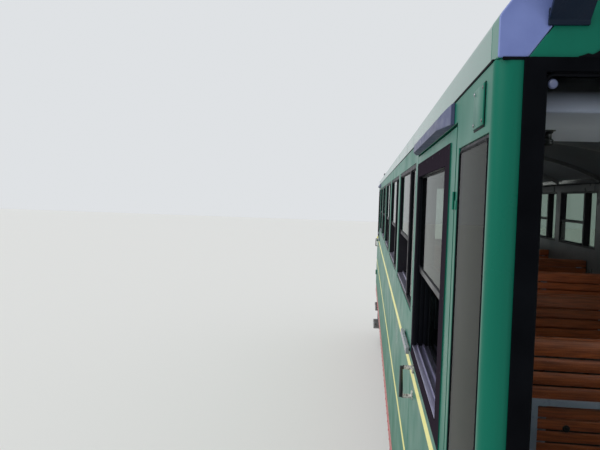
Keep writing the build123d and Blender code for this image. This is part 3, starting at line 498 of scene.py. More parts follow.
def reshape_handle(point):
    """A thin grip held near its ends by two stout arms."""
    grip, arm_z, stout, thin = 48 * MM, 48 * MM, 1.2, 0.55
    away = abs(point.y) - SIDE_Y
    axis_x = math.copysign(HANDLE_X, point.x)
    rise = point.z - HANDLE_Z
    arm = math.copysign(arm_z, rise)
    if abs(rise - arm) < 8 * MM:
        point.z = HANDLE_Z + rise * stout
    on_grip = away > grip - 11 * MM
    slim = thin if on_grip else stout
    point.x = axis_x + (point.x - axis_x) * slim
    if on_grip:
        point.y = math.copysign(SIDE_Y + grip + (away - grip) * slim, point.y)


def softened(node, width, fit=None):
    """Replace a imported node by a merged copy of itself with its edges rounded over."""
    shape = bmesh.new()
    shape.from_mesh(frame["nodes"][node].data)
    if fit:
        for vert in shape.verts:
            fit(vert.co)
    bmesh.ops.remove_doubles(shape, verts=shape.verts, dist=0.02 * MM)
    bmesh.ops.dissolve_limit(shape, angle_limit=math.radians(1), verts=shape.verts, edges=shape.edges)
    holder = add_object(node + "_soft", shaded(meshed(node + "_soft", shape)))
    bevel = adjusted(holder.modifiers.new("edges", "BEVEL"), width=width, segments=2, harden_normals=True)
    adjusted(bevel, limit_method="ANGLE", angle_limit=math.radians(35))
    name, mesh = node + "_finished", evaluated(holder)
    piece = placed(name, mesh, finish_of(node), BODY_OF[node], smooth=False)
    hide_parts(node)


def evaluated(holder):
    """A plain mesh of an object with its modifiers applied; the object itself is removed."""
    graph = bpy.context.evaluated_depsgraph_get()
    mesh = bpy.data.meshes.new_from_object(holder.evaluated_get(graph))
    old = holder.data
    bpy.data.objects.remove(holder)
    bpy.data.meshes.remove(old)
    return mesh


def new_tree(name, **sizes):
    """A geometry tree with a mesh input and one named number input for each size."""
    tree = bpy.data.node_groups.new(name, "GeometryNodeTree")
    socket = tree.interface.new_socket
    socket("Geometry", in_out="INPUT", socket_type="NodeSocketGeometry")
    for label, value in sizes.items():
        kind = "NodeSocketInt" if isinstance(value, int) else "NodeSocketFloat"
        socket(label, in_out="INPUT", socket_type=kind).default_value = value
    socket("Material", in_out="INPUT", socket_type="NodeSocketMaterial")
    socket("Geometry", in_out="OUTPUT", socket_type="NodeSocketGeometry")
    return tree, tree.nodes.new("NodeGroupInput").outputs


def end_tree(tree, geometry, material):
    """Close a geometry tree with real geometry and its material."""
    real = add_node(tree, "GeometryNodeRealizeInstances", {"Geometry": geometry}, 0)
    done = add_node(tree, "GeometryNodeSetMaterial", {"Geometry": real, "Material": material}, 0)
    add_node(tree, "NodeGroupOutput", {"Geometry": done})
    return tree


def fastener_tree():
    """Screw, bolt or rivet heads on washers, one on each point, standing along the point's facing."""
    tree, given = new_tree("fasteners", Sides=12, Radius=4 * MM, Height=2 * MM, Top=0.7, Washer=1.4)
    top, flat, thick = (
        add_node(tree, "ShaderNodeMath", {0: given[size], 1: share}, 0, operation="MULTIPLY")
        for size, share in (("Radius", given["Top"]), ("Radius", given["Washer"]), ("Height", 0.3))
    )
    head = {"Vertices": given["Sides"], "Radius Top": top, "Radius Bottom": given["Radius"], "Depth": given["Height"]}
    washer = {"Vertices": 12, "Radius": flat, "Depth": thick}
    both = add_node(tree, "GeometryNodeJoinGeometry")
    for kind, inputs in (("GeometryNodeMeshCone", head), ("GeometryNodeMeshCylinder", washer)):
        tree.links.new(add_node(tree, kind, inputs, "Mesh"), both.inputs[0])
    facing = add_node(tree, "GeometryNodeInputNamedAttribute", {"Name": "facing"}, 0, data_type="FLOAT_VECTOR")
    turn = add_node(tree, "FunctionNodeAlignRotationToVector", {"Vector": facing}, 0, axis="Z")
    heads = {"Points": given["Geometry"], "Instance": both.outputs[0], "Rotation": turn}
    return end_tree(tree, add_node(tree, "GeometryNodeInstanceOnPoints", heads, 0), given["Material"])


def bead_tree():
    """A round rubber bead or bent rod along each run of edges, with its corners turned by a radius."""
    tree, given = new_tree("beads", Radius=3 * MM, Bend=10 * MM, Sides=8)
    line = add_node(tree, "GeometryNodeMeshToCurve", {"Mesh": given["Geometry"]}, 0)
    bend = {"Curve": line, "Radius": given["Bend"], "Count": 4}
    bent = add_node(tree, "GeometryNodeFilletCurve", bend, 0, mode="POLY")
    size = {"Resolution": given["Sides"], "Radius": given["Radius"]}
    ring = add_node(tree, "GeometryNodeCurvePrimitiveCircle", size, 0)
    swept = {"Curve": bent, "Profile Curve": ring, "Fill Caps": True}
    return end_tree(tree, add_node(tree, "GeometryNodeCurveToMesh", swept, 0), given["Material"])


def bar_tree():
    """A bar on each point, for treads and louvres."""
    tree, given = new_tree("bars", Length=0.1, Width=6 * MM, Height=4 * MM)
    size = {"X": given["Length"], "Y": given["Width"], "Z": given["Height"]}
    size = add_node(tree, "ShaderNodeCombineXYZ", size, 0)
    bar = add_node(tree, "GeometryNodeMeshCube", {"Size": size}, "Mesh")
    bars = add_node(tree, "GeometryNodeInstanceOnPoints", {"Points": given["Geometry"], "Instance": bar}, 0)
    return end_tree(tree, bars, given["Material"])


def grown(name, tree, sizes, points, material, body="car_body", edges=(), facings=()):
    """Grow a geometry tree on points or runs of edges, and keep the result as a plain piece."""
    mesh = bpy.data.meshes.new(name)
    mesh.from_pydata(points, edges, [])
    if facings:
        facing = mesh.attributes.new("facing", "FLOAT_VECTOR", "POINT")
        facing.data.foreach_set("vector", [v for f in facings for v in f])
    holder = add_object(name, mesh)
    modifier = holder.modifiers.new(name, "NODES")
    modifier.node_group = tree
    given = {**sizes, "Material": material}
    for item in tree.interface.items_tree:
        if item.item_type == "SOCKET" and item.in_out == "INPUT" and item.name in given:
            modifier[item.identifier] = given[item.name]
    return placed(name, evaluated(holder), material, body)


def loop_edges(count, loops=1):
    """The edges of closed loops of points."""
    return [(first + k, first + (k + 1) % count) for first in range(0, loops * count, count) for k in range(count)]


def side_ring(x, z, y):
    """Four points round a rectangle on a side wall."""
    return [(x[0], y, z[0]), (x[1], y, z[0]), (x[1], y, z[1]), (x[0], y, z[1])]


class CarColours(bpy.types.PropertyGroup):
    """Colours and paint lines of the car."""

    green: bpy.props.StringProperty(name="Green", description="Coach green", default="#0b6e59")
    green_deep: bpy.props.StringProperty(name="Deep green", description="Shaded coach green", default="#095b4a")
    yellow: bpy.props.StringProperty(name="Lines", description="Paint lines", default="#e6e089")
    upper_line: bpy.props.FloatProperty(
        name="Upper line", description="Height of the upper line", default=above_rail(1750)[0], unit="LENGTH"
    )
    lower_line: bpy.props.FloatProperty(
        name="Lower line", description="Height of the lower line", default=above_rail(1330)[0], unit="LENGTH"
    )
    line_width: bpy.props.FloatProperty(
        name="Line width", description="Width of a paint line", default=42 * MM, unit="LENGTH"
    )


class CarStudio(bpy.types.PropertyGroup):
    """Camera."""

    eye: bpy.props.FloatVectorProperty(
        name="Eye", description="Camera position", default=(-END_X - 1.07, SIDE_Y + 0.204, RAIL_Z + 2.48)
    )
    turn: bpy.props.FloatVectorProperty(
        name="Turn", description="Camera rotation", default=(1.523749, -0.031307, -1.46162), unit="ROTATION"
    )
    lens: bpy.props.FloatProperty(name="Lens", description="Focal length in millimetres", default=37.2)


class RACKCAR_OT_finishes(bpy.types.Operator):
    """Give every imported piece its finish"""

    bl_idname = "rackcar.finishes"
    bl_label = "Finishes"

    def execute(self, context):
        car = context.scene.rackcar_colours
        made = {
            "body_green": coach_enamel(car, 0.12),
            "red_paint": dusty_paint("frame_red_enamel", "#a8262a", rough=0.35),
            "roof_paint": roof_finish(),
            "ceiling_paint": dusty_paint("ceiling_grey_paint", "#54585a", amount=0.1),
            "cap_grey": cap_paint(car),
            "hood_grey": dusty_paint("hood_purple_grey_paint", "#4f5472", rough=0.45, amount=0.15, shine=0.2),
            "frame_black": dusty_paint("bronze_frame_enamel", "#1b191f", "#2c2931", 0.45, shine=0.12),
            "gasket_rubber": moulded("gasket_rubber", "#050609", "#0b0d11"),
            "clear_glass": safety_glass("smoked_side_glass", "#8fa095", "#849489", "#6b7763"),
            "sill_aluminium": anodised("sill_anodised_aluminium", "#b9b6cc"),
            "rail_grey": dusty_paint("rail_grey_enamel", "#8a8c92", rough=0.3, amount=0.1),
            "coupler_steel": worn_steel("coupler_cast_steel", "#4a4846", "#2a2623"),
            "bracket_paint": dusty_paint("bracket_blue_black_enamel", "#0c1a2b", "#3a3246", 0.3, 0.3, 0.12),
            "lamp_metal": dusty_paint("lamp_grey_enamel", "#9a9c9c", rough=0.3, amount=0.1),
            "step_steel": worn_steel("step_galvanised_steel", "#8f9294", "#6b6a66"),
            "gear_paint": dusty_paint("running_gear_paint", "#2e3133", "#5b5145", 0.6, 0.6),
            "box_iron": dusty_paint("cast_iron_oiled", "#252423", "#4d4136", 0.55, 0.6),
            "spring_steel": worn_steel("leaf_spring_steel", "#4d4943", "#33291f"),
            "wheel_steel": worn_steel("wheel_rolled_steel", "#8d8780", "#4c3b2e"),
            "pinion_steel": worn_steel("pinion_greased_steel", "#6e675e", "#2b241d"),
            "bare_steel": worn_steel("machined_steel", "#84827e", "#45403a"),
            "floor_rubber": moulded("floor_rubber", "#2c2d2e", "#3c3d3c", grit=25 * MM),
            "bench_wood": varnished_slat("varnished_larch", "#aa5931", "#70361c"),
            "bench_steel": dusty_paint("bench_angle_grey_enamel", "#8d96a8", "#6c7484", 0.35),
            "locker_grey": locker_enamel(),
            "handwheel_paint": dusty_paint("handwheel_grey_enamel", "#5a5d62", rough=0.3, amount=0.1),
            "lamp_plastic": moulded("opal_lamp_plastic", "#e4e2da", "#c9c6bb", 0.3, shine=0.5),
            "handle_black": handle_finish(),
        }
        for name, thing in frame["nodes"].items():
            thing.data.materials.clear()
            thing.data.materials.append(made[SLOT_OF[name]])
        clear = safety_glass("clear_end_glass", "#dfe2e0", "#d3d7d4", "#dfe2e0")
        frame["nodes"]["end_glass"].data.materials[0] = clear
        frame["nodes"]["eaves_fairings"].data.materials[0] = coach_enamel(car, 0.8, (0.08, 0.16))
        return {"FINISHED"}


def add_light(name, kind, energy, place=(0, 0, 0), towards=(0, 0, -1), **settings):
    """Stand a lamp at a place, shining in a direction."""
    light = adjusted(bpy.data.lights.new(name, kind), energy=energy, **settings)
    turn = Vector(towards).to_track_quat("-Z", "Y").to_euler()
    return adjusted(add_object(name, light), location=place, rotation_euler=turn)


class RACKCAR_OT_studio(bpy.types.Operator):
    """Set up the pale floor, the soft lights and the camera"""

    bl_idname = "rackcar.studio"
    bl_label = "Studio"

    def execute(self, context):
        studio = context.scene.rackcar_studio
        context.scene.view_settings.view_transform = "Standard"
        shape = bmesh.new()
        bmesh.ops.create_grid(shape, x_segments=1, y_segments=1, size=60)
        ground = add_object("studio_floor", meshed("floor", shape))
        paint = new_material("floor_matt_paint", Roughness=0.8, Base_Color=linear("#e8e8e5"))[0]
        ground.data.materials.append(paint)

        # The sky is dim where it lights the car, and pale where it is seen, mirrored or looked through
        world = bpy.data.worlds.new("studio_sky")
        context.scene.world = world
        world.use_nodes = True
        sky = world.node_tree
        rays = add_node(sky, "ShaderNodeLightPath").outputs
        seen = rays["Is Camera Ray"]
        for kind in ("Is Glossy Ray", "Is Transmission Ray"):
            seen = add_node(sky, "ShaderNodeMath", {0: seen, 1: rays[kind]}, 0, operation="MAXIMUM")
        strength = add_node(sky, "ShaderNodeMapRange", {"Value": seen, "To Min": 0.55, "To Max": 0.95}, 0)
        feed(sky, sky.nodes["Background"], {"Color": linear("#e4e7ea"), "Strength": strength})

        place = (-END_X - 3.0, -1.6, 2.2)
        add_light("end_softbox", "AREA", 20, place, (4.5, 2.4, -0.2), shape="RECTANGLE", size=1.6, size_y=1.4)
        for x in spread(1.6 - END_X, END_X - 1.6, 4):
            lamp = add_light("saloon_fill", "POINT", 7, (x, -0.1, RAIL_Z + 2.2), shadow_soft_size=0.3)
            lamp.visible_camera = lamp.visible_transmission = lamp.visible_glossy = False
        add_light("diffused_sky_light", "SUN", 2.1, towards=(0.25, -0.7, -0.68), angle=1.2)

        camera = bpy.data.cameras.new("passenger_view")
        adjusted(camera, lens=studio.lens, sensor_width=36, clip_start=0.05, clip_end=500)
        view = adjusted(add_object(camera.name, camera), location=studio.eye, rotation_euler=studio.turn)
        context.scene.camera = view
        return {"FINISHED"}


class RACKCAR_OT_rounded_pieces(bpy.types.Operator):
    """Round over the edges of the sheet metal, boards, castings and running gear"""

    bl_idname = "rackcar.rounded_pieces"
    bl_label = "Rounded pieces"

    def execute(self, context):
        widths = {
            "bench_slats": 4, "bench_frames": 2, "locker": 6, "grab_rails": 5, "headstocks": 3, "battery_box": 4,
            "lamp_brackets": 3, "door_steps": 2, "window_sills": 1, "window_frames_left": 2,
            "window_frames_right": 2, "end_window_frames": 2, "side_wall_left": 2, "side_wall_right": 2,
            "end_wall_rear": 2, "end_wall_front": 2, "eaves_caps": 3, "eaves_fairings": 3, "door_hoods": 1.5,
            "underframe": 2, "roof_bows": 4, "handbrake": 2, "centre_pivots": 3, "door_hinges": 1,
        }
        fits = {"door_hinges": slim_top_hinge, "lamp_brackets": lift_bracket_foot}
        for end, _ in ENDS:
            running = {"coupler": 6, "axle_boxes": 6, "bogie_frame": 3, "brake_gear": 3, "springs": 1.5, "pinion": 2}
            widths.update({f"{kind}_{end}": width for kind, width in running.items()})
            for door, handle in ((f"door_{side}_{end}", f"door_handle_{side}_{end}") for side, _ in SIDES):
                widths.update({door: 2, handle: 1})
                fits.update({door: slim_top_hinge, handle: reshape_handle})
        widths.update({f"wheelset_{number}": 3 for number in range(1, 5)})
        for node, width in widths.items():
            softened(node, width * MM, fits.get(node))
        return {"FINISHED"}


class RACKCAR_OT_roof(bpy.types.Operator):
    """Lay the roof sheets, with a raised seam over each bow"""

    bl_idname = "rackcar.roof"
    bl_label = "Roof sheets"

    def execute(self, context):
        _, edge_y, top_z = node_box("roof")[1]
        skin, rise, seam = 40 * MM, 266 * MM, 4 * MM
        radius = (edge_y**2 + rise**2) / (2 * rise)
        centre_z = top_z - skin - radius
        rows = [(-END_X, skin), (12 * MM - END_X, skin), (16 * MM - END_X, skin - seam)]
        for x in [0.4 - END_X] + BAY_LINES + [END_X - 0.4]:
            rows += [(x - 14 * MM, skin - seam), (x - 9 * MM, skin), (x + 9 * MM, skin), (x + 14 * MM, skin - seam)]
        rows += [(END_X - 16 * MM, skin - seam), (END_X - 12 * MM, skin), (END_X, skin)]
        steps = 64
        shape = bmesh.new()

        def arch(x, lift):
            """A row of points across the car, a lift above the roof's underside."""
            across = spread(-edge_y, edge_y, steps + 1)
            return [shape.verts.new((x, y, centre_z + math.sqrt((radius + lift) ** 2 - y**2))) for y in across]

        top = [arch(x, lift) for x, lift in rows]
        under = [arch(x, 0.0) for x in (-END_X, END_X)]
        for one, two in [*zip(top, top[1:]), under, (top[0], under[0]), (top[-1], under[1])]:
            for k in range(steps):
                shape.faces.new((one[k], one[k + 1], two[k + 1], two[k]))
        for k in (0, steps):
            shape.faces.new([row[k] for row in top] + [under[1][k], under[0][k]])
        piece = finished("roof_sheets", shape, finish_of("roof"))
        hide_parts("roof")
        return {"FINISHED"}


class RACKCAR_OT_gaskets(bpy.types.Operator):
    """Run rubber beads round every pane"""

    bl_idname = "rackcar.gaskets"
    bl_label = "Pane gaskets"

    def execute(self, context):
        rubber = moulded("pane_gasket_rubber", "#101115", rough=0.45)
        tree = bead_tree()
        sizes = {"Radius": 3.5 * MM, "Bend": 14 * MM, "Sides": 8}
        lip = 2 * MM
        glass_z = inset(WINDOW_Z, RIM + lip)
        points = []
        for _, side in SIDES:
            outer, back = side * (SIDE_Y - PANE_BACK), side * (SIDE_Y - SASH_BACK)
            for x in WINDOW_START:
                fixed = (x + RIM, x + RIM + FIXED_PANE)
                sash = inset((fixed[1] + MULLION, x + WINDOW - RIM), lip)
                points += side_ring(inset(fixed, lip), glass_z, outer)
                points += side_ring(sash, (SASH_SPLIT[1] + lip, glass_z[1]), outer)
                points += side_ring(sash, (glass_z[0] + 6 * MM, SASH_SPLIT[0] - lip), back)
            for _, end in ENDS:
                x = sorted(end * v for v in inset(CORNER_PANE_X, 10 * MM))
                points += side_ring(x, inset(CORNER_PANE_Z, 10 * MM), side * (SIDE_Y - 3 * MM))
        low, high = node_box("end_glass")
        z0, z1 = inset((low[2], high[2]), lip)
        inner, outer = END_POST_Y
        for pane in ((low[1], -outer), (-inner, inner), (outer, high[1])):
            y0, y1 = inset(pane, lip)
            for x in (low[0] + MM, high[0] - MM):
                points += [(x, y0, z0), (x, y1, z0), (x, y1, z1), (x, y0, z1)]
        grown("pane_gaskets", tree, sizes, points, rubber, edges=loop_edges(4, len(points) // 4))
        for corner, side, end in CORNERS:
            x = sorted(end * v for v in inset((PANE_LOW[0], PANE_HIGH[0]), lip))
            points = side_ring(x, (DOOR_SPLIT[1] + lip, PANE_HIGH[2] - lip), side * (SIDE_Y - PANE_BACK))
            points += side_ring(x, (PANE_LOW[2] + 7 * MM, DOOR_SPLIT[0] - lip), side * (SIDE_Y - SASH_BACK))
            door, edges = f"door_{corner}", loop_edges(4, 2)
            grown(f"{door}_gaskets", tree, sizes, points, rubber, door, edges)
        return {"FINISHED"}


class RACKCAR_OT_door_linings(bpy.types.Operator):
    """Line each door's lowered window with a metal sill, two tracks and black jambs"""

    bl_idname = "rackcar.door_linings"
    bl_label = "Door linings"

    def execute(self, context):
        metal = anodised("door_sill_anodised_aluminium", "#a9a6c4")
        black = moulded("jamb_black_plastic", "#121318", rough=0.4)
        floor_z = PANE_LOW[2]
        for corner, side, end in CORNERS:
            door = f"door_{corner}"
            x0, x1 = end * PANE_LOW[0], end * PANE_HIGH[0]
            outside = (x1, side * (SIDE_Y + 2 * MM), floor_z + 5 * MM)
            parts = [((x0, side * (SIDE_Y - SASH_BACK), floor_z), outside)]
            for y in (side * (SIDE_Y - depth * MM) for depth in (18, 42)):
                parts += [((x0, y - 3 * MM, floor_z + 4 * MM), (x1, y + 3 * MM, floor_z + 13 * MM))]
            boxed(f"{door}_sill", parts, metal, door)
            parts = [
                ((x - 2 * MM, y - 8 * MM, floor_z + 5 * MM), (x + 2 * MM, y + 8 * MM, PANE_HIGH[2]))
                for x in (x0 + end * 2 * MM, x1 - end * 2 * MM)
                for y in (side * (SIDE_Y - depth * MM) for depth in (12, 30, 48))
            ]
            boxed(f"{door}_jambs", parts, black, door)
        return {"FINISHED"}


class RACKCAR_OT_seals(bpy.types.Operator):
    """Lay the dark strips under the eaves, partly the seal there and partly painted shade of the gap, the blank cover
    plate with a painted shadow round it, and the loose sealant
    """

    bl_idname = "rackcar.seals"
    bl_label = "Seals and cover"

    def execute(self, context):
        black = moulded("black_seal_and_painted_shade", "#0e0f13", rough=0.4)
        # Dark strips along the eaves and across the ends under the caps: partly the rubber seal, partly painted shade
        # in the gap under the eaves.
        reach, strips = END_X - 28 * MM, []
        for _, side in SIDES:
            low = (-reach, side * (SIDE_Y - 4 * MM), GUTTER_Z - 2 * MM)
            strips += [(low, (reach, side * (SIDE_Y + 2 * MM), GUTTER_Z + 3 * MM))]
            for _, end in ENDS:
                low = (end * (END_X - 4 * MM), side * (SIDE_Y - 80 * MM), GUTTER_Z - 4 * MM)
                strips += [(low, (end * (END_X + 2 * MM), side * (SIDE_Y - 10 * MM), GUTTER_Z + MM))]
        boxed("eaves_seals_and_painted_shade", strips, black)

        (x1, x0), (z0, z1) = from_end(85, 190), above_rail(2619, 2695)
        cover = ((-x1, SIDE_Y - MM, z0), (-x0, SIDE_Y + 4 * MM, z1))
        boxed("blank_cover", [cover], finish_of("side_wall_left"), edge=1.5 * MM)
        # A black rim behind the cover plate, widest below it: painted shadow of the raised plate.
        under = ((-x1 - 3 * MM, SIDE_Y - MM, z0 - 4 * MM), (3 * MM - x0, SIDE_Y + 1.5 * MM, z1 + 2 * MM))
        boxed("blank_cover_painted_shadow", [under], black)

        shape = bmesh.new()
        x, near, far = -END_X - 3 * MM, SIDE_Y - 130 * MM, SIDE_Y - 210 * MM
        torn = (2, 4, 7, 5, 9, 14, 11, 15, 10, 13, 7, 3)
        edge = [(x, y, GUTTER_Z + tall * MM) for y, tall in zip(spread(near, far, len(torn)), torn)]
        foot = [(x, y, GUTTER_Z - 4 * MM) for y in (far, near)]
        face = shape.faces.new([shape.verts.new(p) for p in edge + foot])
        for part in bmesh.ops.extrude_face_region(shape, geom=[face])["geom"]:
            if isinstance(part, bmesh.types.BMVert):
                part.co.x += 4 * MM
        finished("loose_sealant", shape, black, smooth=False)
        return {"FINISHED"}


class RACKCAR_OT_lamps(bpy.types.Operator):
    """Fit a ribbed lens and a bezel to each end lamp"""

    bl_idname = "rackcar.lamps"
    bl_label = "Lamp lenses"

    def execute(self, context):
        face_x = node_box("end_lamps")[1][0]
        dome = [(64, 0), (63, 4), (52, 9), (34, 13), (16, 15), (0, 15.5)]
        ring = [(62, 0), (62, 6), (65, 9), (70, 8), (73, 4), (73, 0)]
        metal = anodised("lamp_bezel_aluminium", "#a7a9ab")
        for name, profile, material in (("lamp_lenses", dome, lamp_lens()), ("lamp_bezels", ring, metal)):
            shape = bmesh.new()
            for _, end in ENDS:
                for _, side in SIDES:
                    turned(shape, (end * face_x, side * LAMP_Y, LAMP_Z), (end, 0, 0), profile, 32)
            finished(name, shape, material)
        return {"FINISHED"}


class RACKCAR_OT_saloon_fittings(bpy.types.Operator):
    """Fit the locker's latch, the end benches' boards and locks, a black backing behind the boards as painted shade
    in their gaps, and the stud on the end pane
    """

    bl_idname = "rackcar.saloon_fittings"
    bl_label = "Saloon fittings"

    def execute(self, context):
        black = moulded("black_plastic_and_painted_shade", "#0d0e12", rough=0.3, shine=0.5)
        grey = moulded("stud_grey_plastic", "#4d5674", "#6c7492", 0.3, shine=0.5)
        slats_low, slats_high = node_box("bench_slats")
        backs = ((slats_low[0], 1), (slats_high[0], -1))
        shape = bmesh.new()
        x, y, z = -from_end(320)[0], SIDE_Y - 176 * MM, node_box("locker")[0][2]
        low, high = (x - 14 * MM, y - 12 * MM, z - 3 * MM), (x + 14 * MM, y + 12 * MM, z + MM)
        plate(shape, low, high, 1.5 * MM)
        latch = [(10, 0), (10, 5), (7, 8), (7, 17), (12, 21), (12, 29), (8, 33), (0, 34)]
        turned(shape, (x, y, z), (0, 0, -1), latch)
        for x, inward in backs:
            lock = [(17, -2), (17, 3), (14, 6), (9, 7), (8, 5), (0, 5)]
            turned(shape, (x, 434 * MM, *above_rail(1420)), (-inward, 0, 0), lock)
        finished("saloon_locks", shape, black)
        boards = []
        for x, inward in backs:
            z, = above_rail(1840)
            for tall in (80 * MM, 58 * MM, 58 * MM, 58 * MM):
                boards += [((x, slats_low[1], z - tall), (x + inward * 16 * MM, slats_high[1], z))]
                z -= tall + 10 * MM
        boxed("end_bench_boards", boards, finish_of("bench_slats"), edge=3 * MM)
        # A black sheet just behind the end benches' boards: painted shade, seen through the gaps between them.
        z0, z1 = above_rail(1560, 1836)
        backing = [
            ((x + inward * 12 * MM, slats_low[1] + 8 * MM, z0), (x + inward * 17 * MM, slats_high[1] - 8 * MM, z1))
            for x, inward in backs
        ]
        boxed("end_bench_painted_shade_backing", backing, black)
        shape = bmesh.new()
        stud = (node_box("end_glass")[0][0], 1107 * MM, *above_rail(2678))
        turned(shape, stud, (-1, 0, 0), [(8, -1), (8, 3), (6, 5), (3, 4), (0, 4)])
        finished("pane_stud", shape, grey)
        return {"FINISHED"}


class RACKCAR_OT_fasteners(bpy.types.Operator):
    """Set screws, bolts and rivets along the frames, plates and running gear"""

    bl_idname = "rackcar.fasteners"
    bl_label = "Screws, bolts and rivets"

    def execute(self, context):
        tree = fastener_tree()
        screw = worn_steel("screw_zinc_steel", "#8f8f94", "#4c4a48")
        dark_screw = worn_steel("screw_bronze_coated", "#2b2730", "#1d1a21", rough=0.6)
        gear = finish_of("bogie_frame_rear")
        screw_size = {"Sides": 10, "Radius": 4 * MM, "Height": 1.6 * MM, "Top": 0.6, "Washer": 1.0}
        bolt_size = {"Sides": 6, "Radius": 11 * MM, "Height": 9 * MM, "Top": 0.9, "Washer": 1.5}
        rivet_size = {"Sides": 10, "Radius": 9 * MM, "Height": 4 * MM, "Top": 0.45, "Washer": 1.0}

        def fasten(name, sizes, places, material, body="car_body"):
            """Set a head of a size on each place, which is a point and a facing."""
            points, facings = zip(*places)
            grown(name, tree, sizes, points, material, body, facings=facings)

        def frame_screws(x_pair, z_pair, columns, rows, y, side):
            """Screws along a frame's upper and lower edges, and on its uprights between them."""
            spots = [(x, z) for x in spread(*x_pair, columns) for z in z_pair]
            spots += [(x, z) for z in spread(*z_pair, rows)[1:-1] for x in x_pair]
            return [((x, y, z), (0, side, 0)) for x, z in spots]

        def hinge_screws(side, end, way):
            """Two screws in a strap of each lower hinge: way 1 for the wall's straps, -1 for the door's."""
            x, y = end * (HINGE_X + way * 25 * MM), side * (SIDE_Y + 5 * MM)
            return [((x, y, z - way * lift * MM), (0, side, 0)) for z in HINGE_Z[:2] for lift in (10, 32)]

        screws = []
        for _, side in SIDES:
            y = side * (SIDE_Y - 4 * MM)
            for start in WINDOW_START:
                x_pair, z_pair = inset((start, start + WINDOW), RIM / 2), inset(WINDOW_Z, RIM / 2)
                screws += frame_screws(x_pair, z_pair, 4, 3, y, side)
        for _, side, end in CORNERS:
            screws += hinge_screws(side, end, 1)
        for x in from_end(93, 182):
            screws += [((-x, SIDE_Y + 4 * MM, z), (0, 1, 0)) for z in above_rail(2627, 2687)]
        fasten("body_screws", screw_size, screws, screw)
        for corner, side, end in CORNERS:
            x_pair = [end * x for x in inset(SURROUND_X, 12 * MM)]
            screws = frame_screws(x_pair, inset(SURROUND_Z, 12 * MM), 6, 5, side * (SIDE_Y + 3 * MM), side)
            screws += hinge_screws(side, end, -1)
            fasten(f"door_{corner}_screws", screw_size, screws, dark_screw, f"door_{corner}")

        rivets = []
        beam_low, beam_high = node_box("underframe")
        head_low, head_high = node_box("headstocks")
        for _, side in SIDES:
            for x in spread(0.09 - END_X, END_X - 0.09, 60):
                levels = inset((beam_low[2], beam_high[2]), 24 * MM)
                rivets += [((x, side * beam_high[1], z), (0, side, 0)) for z in levels]
        for _, end in ENDS:
            for z, reach, count in ((head_high[2] - 26 * MM, 1.12, 15), (head_low[2] + 26 * MM, 0.78, 11)):
                rivets += [((end * head_high[0], y, z), (end, 0, 0)) for y in spread(-reach, reach, count)]
        fasten("frame_rivets", rivet_size, rivets, finish_of("underframe"))

        ring, plate_x = circle(6, 91 * MM, 0.5), END_X + 12 * MM
        bolts = [
            ((end * plate_x, side * LAMP_Y + dy, LAMP_Z + dz), (end, 0, 0))
            for _, end in ENDS for _, side in SIDES for dy, dz in ring
        ]
        fasten("lamp_bolts", screw_size, bolts, screw)
        bolts = [
            ((end * (END_X + 54 * MM), y, z), (end, 0, 0))
            for _, end in ENDS for y in (-122 * MM, 122 * MM) for z in above_rail(640, 740, 840)
        ]
        fasten("coupler_bolts", bolt_size, bolts, gear)

        half_wheelbase, frame_y = 700 * MM, 690 * MM
        for end, _ in ENDS:
            low, high = node_box(f"axle_boxes_{end}")
            middle, axle_z = (low[0] + high[0]) / 2, (low[2] + high[2]) / 2
            bolts = []
            for _, side in SIDES:
                spots = []
                for x in (middle - half_wheelbase, middle + half_wheelbase):
                    spots += [(x + dx, high[1], axle_z + dz) for dx, dz in circle(6, 62 * MM)]
                    spots += [(x + dx * MM, frame_y, z) for dx in (-130, 130) for z in above_rail(300, 360, 420)]
                spots += [(middle + dx * MM, frame_y, z * MM) for dx in (-140, 0, 140) for z in (590, 670)]
                bolts += [((x, side * y, z), (0, side, 0)) for x, y, z in spots]
            fasten(f"bogie_bolts_{end}", bolt_size, bolts, gear, f"bogie_{end}")
        return {"FINISHED"}


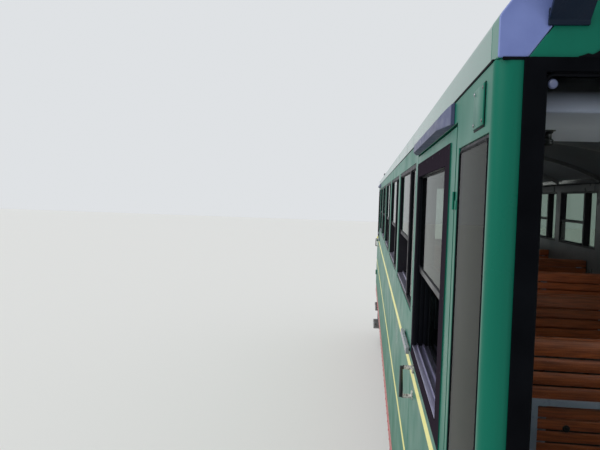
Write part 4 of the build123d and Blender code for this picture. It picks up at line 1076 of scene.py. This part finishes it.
class RACKCAR_OT_underfloor(bpy.types.Operator):
    """Add tread bars to the steps, straps to the air tank, and a lid and louvres to the battery box"""

    bl_idname = "rackcar.underfloor"
    bl_label = "Under the floor"

    def execute(self, context):
        gear = finish_of("battery_box")
        treads = []
        for _, side, end in CORNERS:
            for height, inner, outer in ((341, 1040, 1235), (641, 1010, 1215)):
                y, (z,) = side * (inner + outer) / 2 * MM, above_rail(height)
                treads += [(end * (END_X - 1.0) + dx, y, z) for dx in spread(-0.32, 0.32, 25)]
        sizes = {"Length": 7 * MM, "Width": 165 * MM, "Height": 5 * MM}
        grown("tread_bars", bar_tree(), sizes, treads, finish_of("door_steps"))

        low, high = node_box("air_tank")
        radius = (high[1] - low[1]) / 2
        centre_y, centre_z = low[1] + radius, low[2] + radius
        straps = (low[0] + 0.18, low[0] + 0.32, high[0] - 0.32, high[0] - 0.18)
        points = [(x, centre_y + dy, centre_z + dz) for x in straps for dy, dz in circle(32, radius + MM)]
        sizes = {"Radius": 5 * MM, "Bend": 0.0, "Sides": 6}
        grown("tank_straps", bead_tree(), sizes, points, gear, edges=loop_edges(32, len(straps)))

        low, high = node_box("battery_box")
        face = high[1]
        parts = [((low[0] + 0.04, face - MM, low[2] + 0.05), (high[0] - 0.04, face + 6 * MM, high[2] - 0.05))]
        for x in (-0.42, 0.42):
            parts += [
                ((x - 0.03, face + 5 * MM, high[2] - 0.10), (x + 0.03, face + 14 * MM, high[2] - 0.04)),
                ((x - 0.045, face, low[2] + 0.03), (x + 0.045, face + 11 * MM, low[2] + 0.055)),
            ]
        boxed("battery_lid", parts, gear, edge=2 * MM)
        louvres = [(x, face + 6 * MM, z) for x in (-0.2, 0.2) for z in spread(low[2] + 0.12, low[2] + 0.24, 5)]
        sizes = {"Length": 0.24, "Width": 12 * MM, "Height": 8 * MM}
        grown("battery_louvres", bar_tree(), sizes, louvres, gear)
        return {"FINISHED"}


class RACKCAR_PT_panel(bpy.types.Panel):
    """Lists the steps that dress the car."""

    bl_idname = "RACKCAR_PT_panel"
    bl_label = "Rack Car"
    bl_space_type = "VIEW_3D"
    bl_region_type = "UI"
    bl_category = "Rack Car"

    def draw(self, context):
        for operator in OPERATORS:
            self.layout.operator(operator.bl_idname)


OPERATORS = (
    RACKCAR_OT_studio, RACKCAR_OT_finishes, RACKCAR_OT_rounded_pieces, RACKCAR_OT_roof, RACKCAR_OT_gaskets,
    RACKCAR_OT_door_linings, RACKCAR_OT_seals, RACKCAR_OT_lamps, RACKCAR_OT_saloon_fittings,
    RACKCAR_OT_fasteners, RACKCAR_OT_underfloor,
)
CLASSES = (CarColours, CarStudio) + OPERATORS + (RACKCAR_PT_panel,)


def register():
    for entry in CLASSES:
        bpy.utils.register_class(entry)
    bpy.types.Scene.rackcar_colours = bpy.props.PointerProperty(type=CarColours)
    bpy.types.Scene.rackcar_studio = bpy.props.PointerProperty(type=CarStudio)


def unregister():
    del bpy.types.Scene.rackcar_studio
    del bpy.types.Scene.rackcar_colours
    for entry in reversed(CLASSES):
        bpy.utils.unregister_class(entry)


def main():
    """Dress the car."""
    register()
    for name in [entry.bl_idname.partition(".")[2] for entry in OPERATORS]:
        getattr(bpy.ops.rackcar, name)()


if __name__ == "__main__":
    main()
